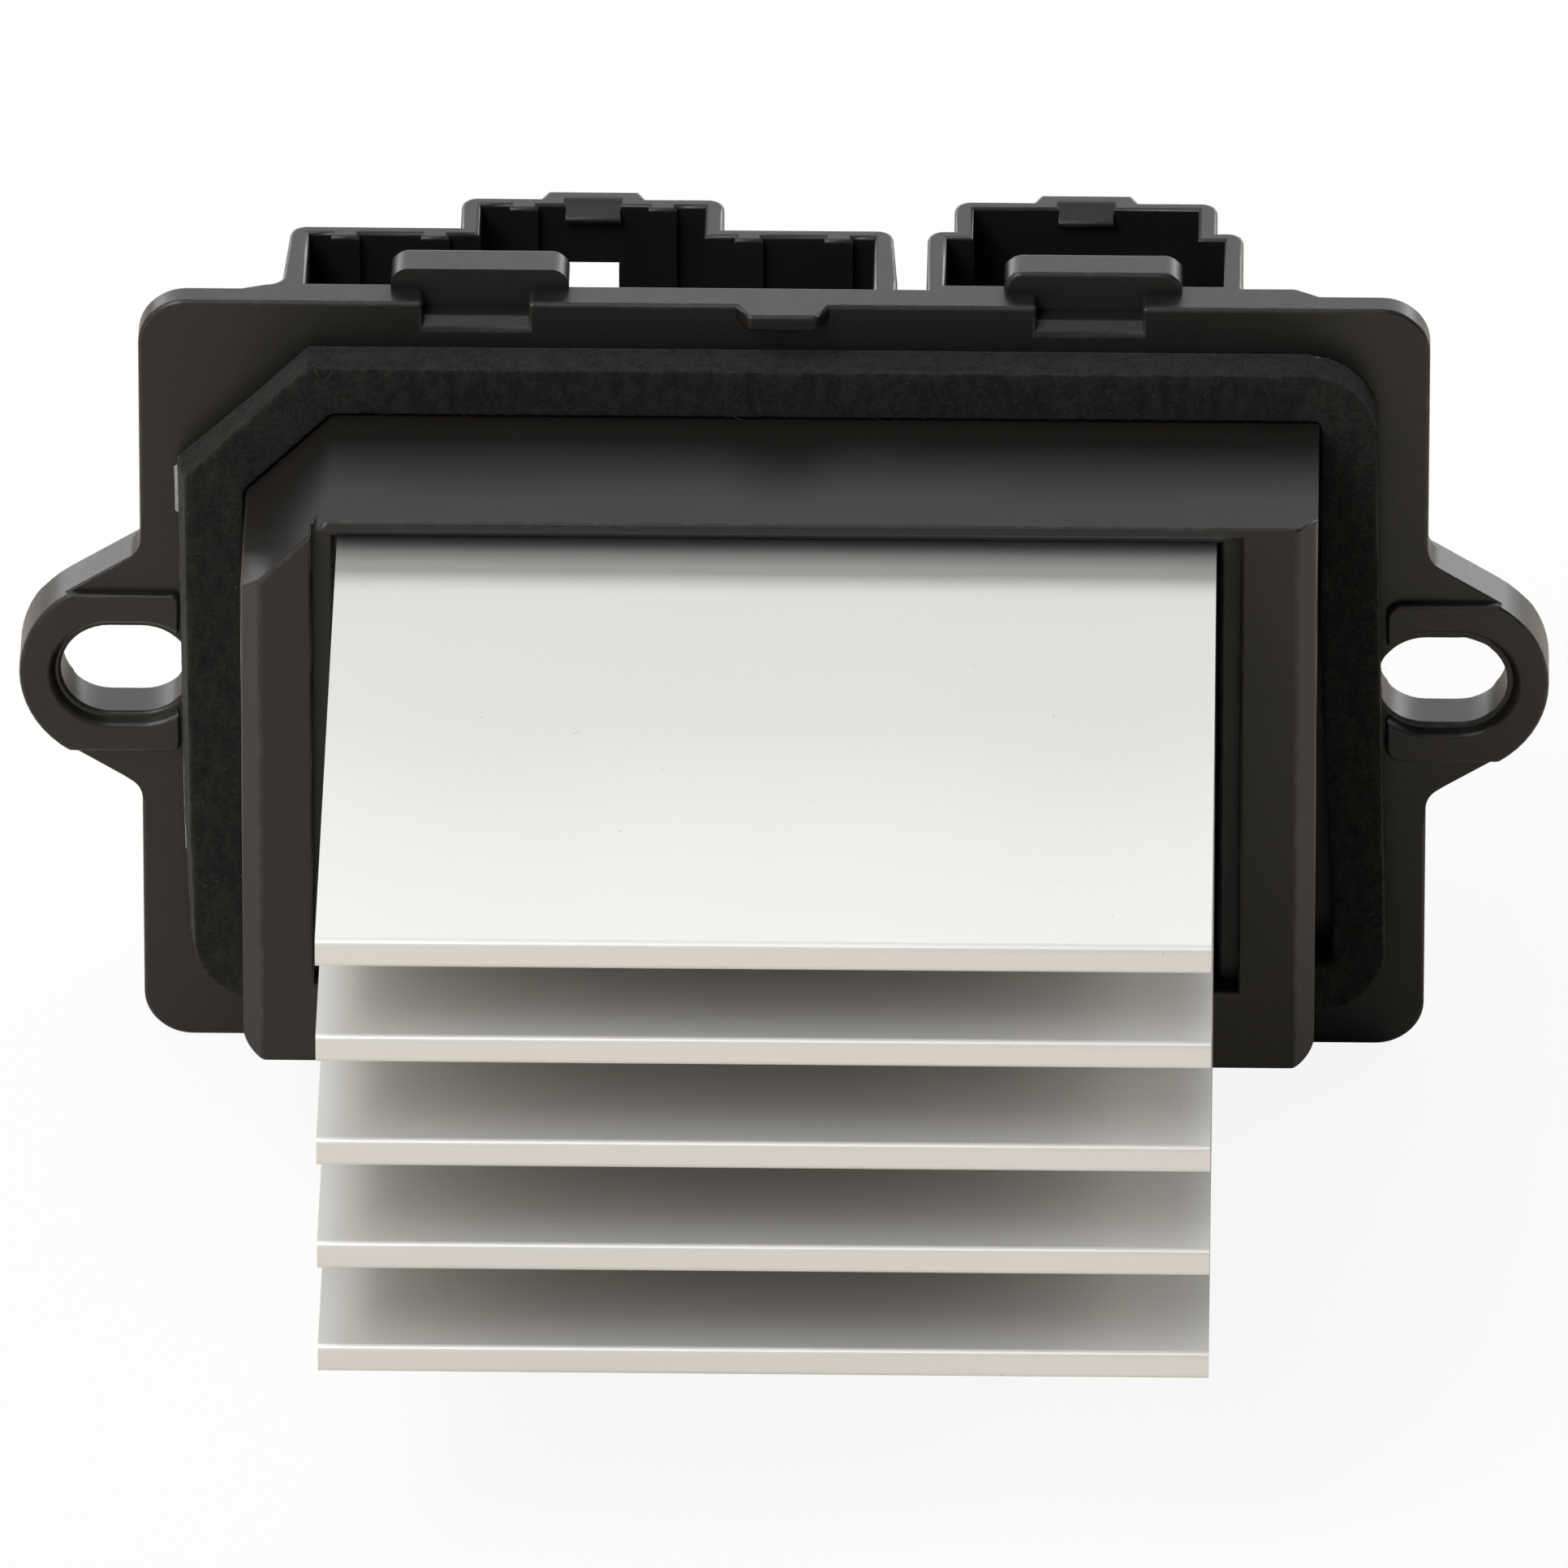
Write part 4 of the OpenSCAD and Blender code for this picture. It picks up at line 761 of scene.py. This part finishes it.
# %% Comb by Geometry Nodes
def drawn_out(t, curve, radius):
    """Fillets an outline, fills it and draws the face out along X."""
    curve = t.node("GeometryNodeFilletCurve", {"mode": "POLY"}, {
        "Curve": curve, "Count": 5, "Radius": radius, "Limit Radius": True})
    flat = t.node("GeometryNodeFillCurve", {"mode": "NGONS"}, {"Curve": curve})
    start = t.node("ShaderNodeCombineXYZ", {}, {"X": t["Left"]})
    face = t.node("GeometryNodeTransform", {}, {
        "Geometry": flat, "Translation": start, "Rotation": (0, -math.pi / 2, 0)})
    run = t.node("ShaderNodeCombineXYZ", {}, {"X": t["Length"]})
    drawn = t.node("GeometryNodeExtrudeMesh", {}, {"Mesh": face, "Offset": run, "Offset Scale": 1.0})
    back_face = t.node("GeometryNodeFlipFaces", {}, {"Mesh": face})
    both = t.node("GeometryNodeJoinGeometry", {}, {"Geometry": [drawn, back_face]})
    return t.node("GeometryNodeMergeByDistance", {}, {"Geometry": both, "Distance": WELD})


def comb_tree(material):
    sizes = ("Bottom", "Height", "Pitch", "Thickness", "Reach", "Base",
             "Tip radius", "Root radius", "Left", "Length")
    t = Nodes("fin_comb", {"Fins": "NodeSocketInt", **{size: "NodeSocketFloat" for size in sizes}})
    curve, radius = comb_outline(t)
    t.end(drawn_out(t, curve, radius), material)
    return t


FINS, FIN_PITCH, FIN_THICKNESS, SINK_BASE = 5, 8.45 * MM, 2.2 * MM, 5 * MM
TIP_RADIUS, ROOT_RADIUS = 0.5 * MM, 0.8 * MM
low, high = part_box("heat_sink")
comb = comb_tree(comb_metal).grow(
    "fin_comb", Fins=FINS, Bottom=low.z, Height=high.z - low.z, Pitch=FIN_PITCH,
    Thickness=FIN_THICKNESS, Reach=-low.y, Base=SINK_BASE, Left=low.x, Length=high.x - low.x,
    **{"Tip radius": TIP_RADIUS, "Root radius": ROOT_RADIUS})
closed = face_outward(comb.data)
comb_box = [[round(v / MM, 2) for v in comb.bound_box[corner]] for corner in (0, 6)]
print("comb box in mm", comb_box, "closed", closed)
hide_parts("heat_sink")
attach(comb, "root")

# %% [markdown]
# ## The foam ring
# The gasket is stamped from foam sheet and pressed over the collar by hand, so its edges are soft
# and a little ragged. A Remesh modifier gives the CAD ring small even faces, and noise then dents
# it inwards, most on its front. On the left the foam was pressed outwards, and its front is pushed
# in a little further than its back, which shows the side of the foam there.

# %% Foam ring
COARSE_DENT, FINE_DENT = 0.45 * MM, 0.15 * MM
LEFT_SIDE = 0.88
BULGE, BULGE_GROWTH = 0.35 * MM, 0.6 * MM
BULGE_START, BULGE_RUN = 15.5 * MM, 27 * MM


def left_bulge(z):
    """How far the foam was pressed out to the left at a height, more towards the bottom."""
    return BULGE + BULGE_GROWTH * max(0.0, min(1.0, (BULGE_START - z) / BULGE_RUN))


def foam_ring(cell, dent, lean):
    mesh = nodes["gasket"].data.copy()
    mesh.name = "foam_ring"
    ring = link("foam_ring", mesh)
    grid = ring.modifiers.new("even_faces", "REMESH")
    grid.mode, grid.voxel_size = "VOXEL", cell
    settle(ring)
    low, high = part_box("gasket")
    middle, thick = (low.x + high.x) / 2, high.y - low.y
    normals = [v.normal.copy() for v in ring.data.vertices]
    for v, out in zip(ring.data.vertices, normals):
        front = (high.y - v.co.y) / thick
        coarse = 1 + noise.noise(v.co / COARSE_DENT)
        fine = 1 + noise.noise(v.co / FINE_DENT)
        left = max(0.0, (middle - v.co.x) / (middle - low.x) - LEFT_SIDE) / (1 - LEFT_SIDE)
        v.co -= out * dent * (coarse * 0.55 + fine * 0.45) * min(1.0, 0.1 + 1.2 * front)
        v.co.x += lean * left * front - left_bulge(v.co.z) * min(1.0, left)
    ring.data.shade_smooth()
    return ring


ring = foam_ring(cell=0.28 * MM, dent=0.07 * MM, lean=0.6 * MM)
coat(ring, foam)
print(f"foam_ring: {len(ring.data.polygons)} faces")
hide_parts("gasket")
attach(ring, "root")

# %% [markdown]
# ## Loose fibres
# The foam's felted skin sheds short fibres. They lie on it at every angle, and more of them stand
# out along its cut back edge. A Geometry Nodes tree scatters points over the ring and lays a
# three-sided hair of a few faces on each.

# %% Fibres by Geometry Nodes
# Depths between which the cut back edge lies, and the depth from which the skin shows
EDGE_BACK, EDGE_FRONT, SKIN_BACK = -0.02 * MM, -0.5 * MM, -0.01 * MM
# Angles in radians: how far a fibre lies down, and how far it turns about the skin's normal
LIE_LEAST, LIE_MOST, FULL_TURN = 1.25, 1.55, 6.283


def fibre_tree(material):
    t = Nodes("loose_fibres", {
        "Ring": "NodeSocketGeometry", "Density": "NodeSocketFloat", "Edge density": "NodeSocketFloat",
        "Thickness": "NodeSocketFloat", "Shortest": "NodeSocketFloat", "Longest": "NodeSocketFloat",
        "Seed": "NodeSocketInt"})
    place = t.node("GeometryNodeInputPosition")
    deep = t.node("ShaderNodeSeparateXYZ", {}, {0: place}, out="Y")
    near_back = t.math("GREATER_THAN", deep, EDGE_FRONT)
    edge = t.math("MULTIPLY", near_back, t.math("LESS_THAN", deep, EDGE_BACK))
    density = t.math("ADD", t["Density"], t.math("MULTIPLY", edge, t["Edge density"]))
    shown = t.math("LESS_THAN", deep, SKIN_BACK)
    points = t.node("GeometryNodeDistributePointsOnFaces", {"distribute_method": "RANDOM"}, {
        "Mesh": t["Ring"], "Density": t.math("MULTIPLY", density, shown), "Seed": t["Seed"]})
    normal = t.tree.nodes[-1].outputs["Normal"]
    hair = t.node("GeometryNodeMeshCone", {"fill_type": "NONE"}, {
        "Vertices": 3, "Side Segments": 3, "Radius Top": 0.3, "Radius Bottom": 1.0, "Depth": 1.0})
    along = t.node("ShaderNodeSeparateXYZ", {}, {0: place}, out="Z")
    bend = t.math("MULTIPLY", t.math("MULTIPLY", along, t.math("SUBTRACT", 1.0, along)), 6.0)
    shift = t.node("ShaderNodeCombineXYZ", {}, {"X": bend})
    hair = t.node("GeometryNodeSetPosition", {}, {"Geometry": hair, "Offset": shift})

    def chance(low, high, salt):
        return t.node("FunctionNodeRandomValue", {"data_type": "FLOAT"},
                      {2: low, 3: high, "Seed": salt}, out=1)

    def turned(rotation, by):
        return t.node("FunctionNodeRotateRotation", {"rotation_space": "LOCAL"},
                      {"Rotation": rotation, "Rotate By": by})

    stand = t.node("FunctionNodeAlignRotationToVector", {"axis": "Z"}, {"Vector": normal})
    tilt = t.node("ShaderNodeCombineXYZ", {}, {"Y": chance(LIE_LEAST, LIE_MOST, 11)})
    spin = t.node("ShaderNodeCombineXYZ", {}, {"Z": chance(0.0, FULL_TURN, 12)})
    turn = turned(turned(stand, spin), tilt)
    size = t.node("ShaderNodeCombineXYZ", {}, {
        "X": t["Thickness"], "Y": t["Thickness"], "Z": chance(t["Shortest"], t["Longest"], 13)})
    hairs = t.node("GeometryNodeInstanceOnPoints", {}, {
        "Points": points, "Instance": hair, "Rotation": turn, "Scale": size})
    t.end(hairs, material)
    return t


fibres = fibre_tree(fibre).grow(
    "gasket_fibres", base=ring.data, Density=7.0e5, **{"Edge density": 2.2e6},
    Thickness=0.016 * MM, Shortest=0.35 * MM, Longest=1.3 * MM, Seed=4)
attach(fibres, "root")

# %% [markdown]
# ## The outline of the foam's back
# The adhesive film is cut together with the foam, so it follows the outline of the foam's back. That
# outline is read from the CAD gasket: the edges between its back and its sides are joined into
# closed rows, and the longest row is the outer one. It is walked in small even steps.

# %% Outline of the gasket
FACES_BACK = 0.9


def back_outline(node):
    """Longest closed row of points round the back of a solid."""
    bm = merged_copy(node)
    rim = [e for e in bm.edges if sum(f.normal.y > FACES_BACK for f in e.link_faces) == 1]
    rows = []
    while rim:
        first = rim.pop()
        row, here = [first.verts[0].co.copy()], first.verts[1]
        while here is not None:
            row.append(here.co.copy())
            step = next((e for e in here.link_edges if e in rim), None)
            here = step.other_vert(here) if step else None
            if step:
                rim.remove(step)
        rows.append(row)
    bm.free()
    return max(rows, key=lambda row: sum((b - a).length for a, b in zip(row, row[1:])))


def walked(row, step):
    """Points along a row, about one step apart."""
    points = []
    for a, b in zip(row, row[1:]):
        count = max(1, round((b - a).length / step))
        points += [a.lerp(b, i / count) for i in range(count)]
    return points


outline = walked(back_outline("gasket"), 0.2 * MM)
print("gasket outline:", len(outline), "points")

# %% [markdown]
# ## The adhesive film
# The film's edge wanders by a tenth of a millimetre, so it shows as short pale dashes along the top
# and as one longer line at the left corner. A thin ribbon is laid along the outline. At each step
# its outer edge stays under the foam, or comes out where noise or the left corner says so.

# %% Adhesive film
TOP_DASHES, LEFT_LINE = (6 * MM, 16 * MM), (13.2 * MM, 17.0 * MM)
TOP_BAND, LEFT_BAND = 1 * MM, 0.9 * MM
DASH_SIZE, DASH_LEVEL = 0.9 * MM, 0.22
FILM_BACK, FILM_FRONT = 0.2, 1.0


def film_ribbon(points, thick, tuck, show):
    low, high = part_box("gasket")
    middle = (low + high) / 2
    back, front = high.y - thick * FILM_BACK, high.y - thick * FILM_FRONT
    verts, faces = [], []
    for i, p in enumerate(points):
        along = points[(i + 1) % len(points)] - points[i - 1]
        out = Vector((along.z, 0, -along.x)).normalized()
        out *= 1 if out.dot(p - middle) > 0 else -1
        along_top = p.z > high.z - TOP_BAND and TOP_DASHES[0] < p.x < TOP_DASHES[1]
        ragged = along_top and noise.noise(p / DASH_SIZE) > DASH_LEVEL
        on_left = p.x < low.x + LEFT_BAND
        corner = on_left and LEFT_LINE[0] < p.z < LEFT_LINE[1]
        edge = show if ragged or corner else -show
        press = Vector((left_bulge(p.z) if on_left else 0.0, 0, 0))
        inner, outer = p - out * tuck - press, p + out * edge - press
        for spot, y in ((inner, back), (outer, back), (outer, front), (inner, front)):
            verts.append((spot.x, y, spot.z))
        here, there = 4 * i, 4 * ((i + 1) % len(points))
        faces += [(here + k, here + (k + 1) % 4, there + (k + 1) % 4, there + k) for k in range(4)]
    mesh = bpy.data.meshes.new("gasket_film")
    mesh.from_pydata(verts, [], faces)
    print(f"gasket_film: {len(faces)} faces, closed {face_outward(mesh)}")
    return link("gasket_film", mesh)


ribbon = film_ribbon(outline, thick=0.12 * MM, tuck=0.6 * MM, show=0.16 * MM)
coat(ribbon, film)
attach(ribbon, "root")

# %% [markdown]
# ## A white studio
# The photograph was taken on white. The floor and the world show the camera plain white, and the
# floor keeps the object's own soft shadow. For all other rays the world is dimmer, so dark plastic
# stays dark.

# %% Floor and world
FLOOR_HALF, FLOOR_DROP = 4, 0.1 * MM


def studio_floor():
    z = cad_box[0][2] - FLOOR_DROP
    mesh = bpy.data.meshes.new("studio_floor")
    corners = [(x * FLOOR_HALF, y * FLOOR_HALF, z) for x, y in ((-1, -1), (1, -1), (1, 1), (-1, 1))]
    mesh.from_pydata(corners, [], [(0, 1, 2, 3)])
    paint = bpy.data.materials.new("floor_paint")
    s = Shader(paint)
    s.tree.nodes.clear()
    seen = s.node("ShaderNodeLightPath", out="Is Camera Ray")
    matte = s.node("ShaderNodeBsdfDiffuse", {}, {"Color": shade(0.76, 0.71, 0.64)})
    white = s.node("ShaderNodeEmission", {}, {"Color": shade(1, 1, 1)})
    look = s.node("ShaderNodeMixShader", {}, {0: seen * 0.9, 1: matte, 2: white})
    s.node("ShaderNodeOutputMaterial", {}, {"Surface": look}, out=None)
    floor = link("studio_floor", mesh)
    coat(floor, paint)
    return floor


def studio_world(dim, mirror):
    world = bpy.data.worlds.new("studio_white")
    s = Shader(world)
    s.tree.nodes.clear()
    camera = s.node("ShaderNodeLightPath", out="Is Camera Ray")
    glossy = s.node("ShaderNodeLightPath", out="Is Glossy Ray")
    level = camera * (1 - dim) + glossy * (mirror - dim) + dim
    sky = s.node("ShaderNodeBackground", {}, {"Color": shade(1, 1, 1), "Strength": level})
    s.node("ShaderNodeOutputWorld", {}, {"Surface": sky}, out=None)
    bpy.context.scene.world = world


studio_floor()
studio_world(dim=0.14, mirror=0.20)
print("floor and world ready")

# %% [markdown]
# ## Lights
# The light in the photograph is large and soft, comes from above and a little behind, and is
# stronger on the left. Eight softboxes stand for it, all turned to the part. A plastic face mirrors
# only the softbox that it tilts towards, so each of them sets how bright a few faces are.

# %% Softboxes
AIM = Vector((0, -0.02, 0))
# Name, place and size in metres, and power in watts
SOFTBOXES = (
    ("softbox_horizon", (-0.05, 1.05, 0.17), (1.3, 0.22), 5.7),
    ("softbox_behind", (-0.10, 0.82, 0.68), (1.2, 0.4), 2.0),
    ("softbox_above", (-0.35, 0.05, 1.00), (0.8, 0.6), 3.4),
    ("softbox_steep", (-0.50, -0.42, 0.85), (0.5, 0.4), 4.4),
    ("softbox_front_high", (-0.42, -0.75, 0.72), (0.6, 0.5), 4.0),
    ("softbox_left", (-0.95, -0.15, 0.55), (0.7, 0.7), 2.4),
    ("softbox_right", (0.80, 0.70, 0.45), (0.5, 0.5), 6.9),
    ("softbox_front", (-0.45, -0.95, 0.12), (0.4, 0.2), 0.6))


def softbox(name, place, size, power):
    lamp = bpy.data.lights.new(name, "AREA")
    lamp.shape, lamp.size, lamp.size_y = "RECTANGLE", size[0], size[1]
    lamp.energy = power
    obj = link(name, lamp)
    obj.location = place
    obj.rotation_euler = (AIM - obj.location).to_track_quat("-Z", "Y").to_euler()
    obj.visible_camera = False


for name, place, size, power in SOFTBOXES:
    softbox(name, place, size, power)
print(len(SOFTBOXES), "softboxes")

# %% [markdown]
# ## Camera
# The photograph was taken from far off with a long lens, so the fins hardly taper. The camera stands
# 30 degrees above the part and about one degree to its right, and shows the part as large as the
# photograph does. The Standard view keeps the colours as the finishes give them.

# %% Camera
ELEVATION, YAW, DISTANCE = math.radians(30), math.radians(0.95), 2.6
TARGET, SENSOR, LENS = Vector((0.27, -16.1, 0.2)) * MM, 36, 831.7
ahead = math.cos(ELEVATION)
away = Vector((math.sin(YAW) * ahead, -math.cos(YAW) * ahead, math.sin(ELEVATION)))
lens = bpy.data.cameras.new("photo_camera")
lens.sensor_width, lens.lens = SENSOR, LENS
camera = link("photo_camera", lens)
camera.location = TARGET + away * DISTANCE
camera.rotation_euler = (-away).to_track_quat("-Z", "Y").to_euler()
bpy.context.scene.camera = camera
bpy.context.scene.view_settings.view_transform = "Standard"
print("camera at", [round(v, 3) for v in camera.location])
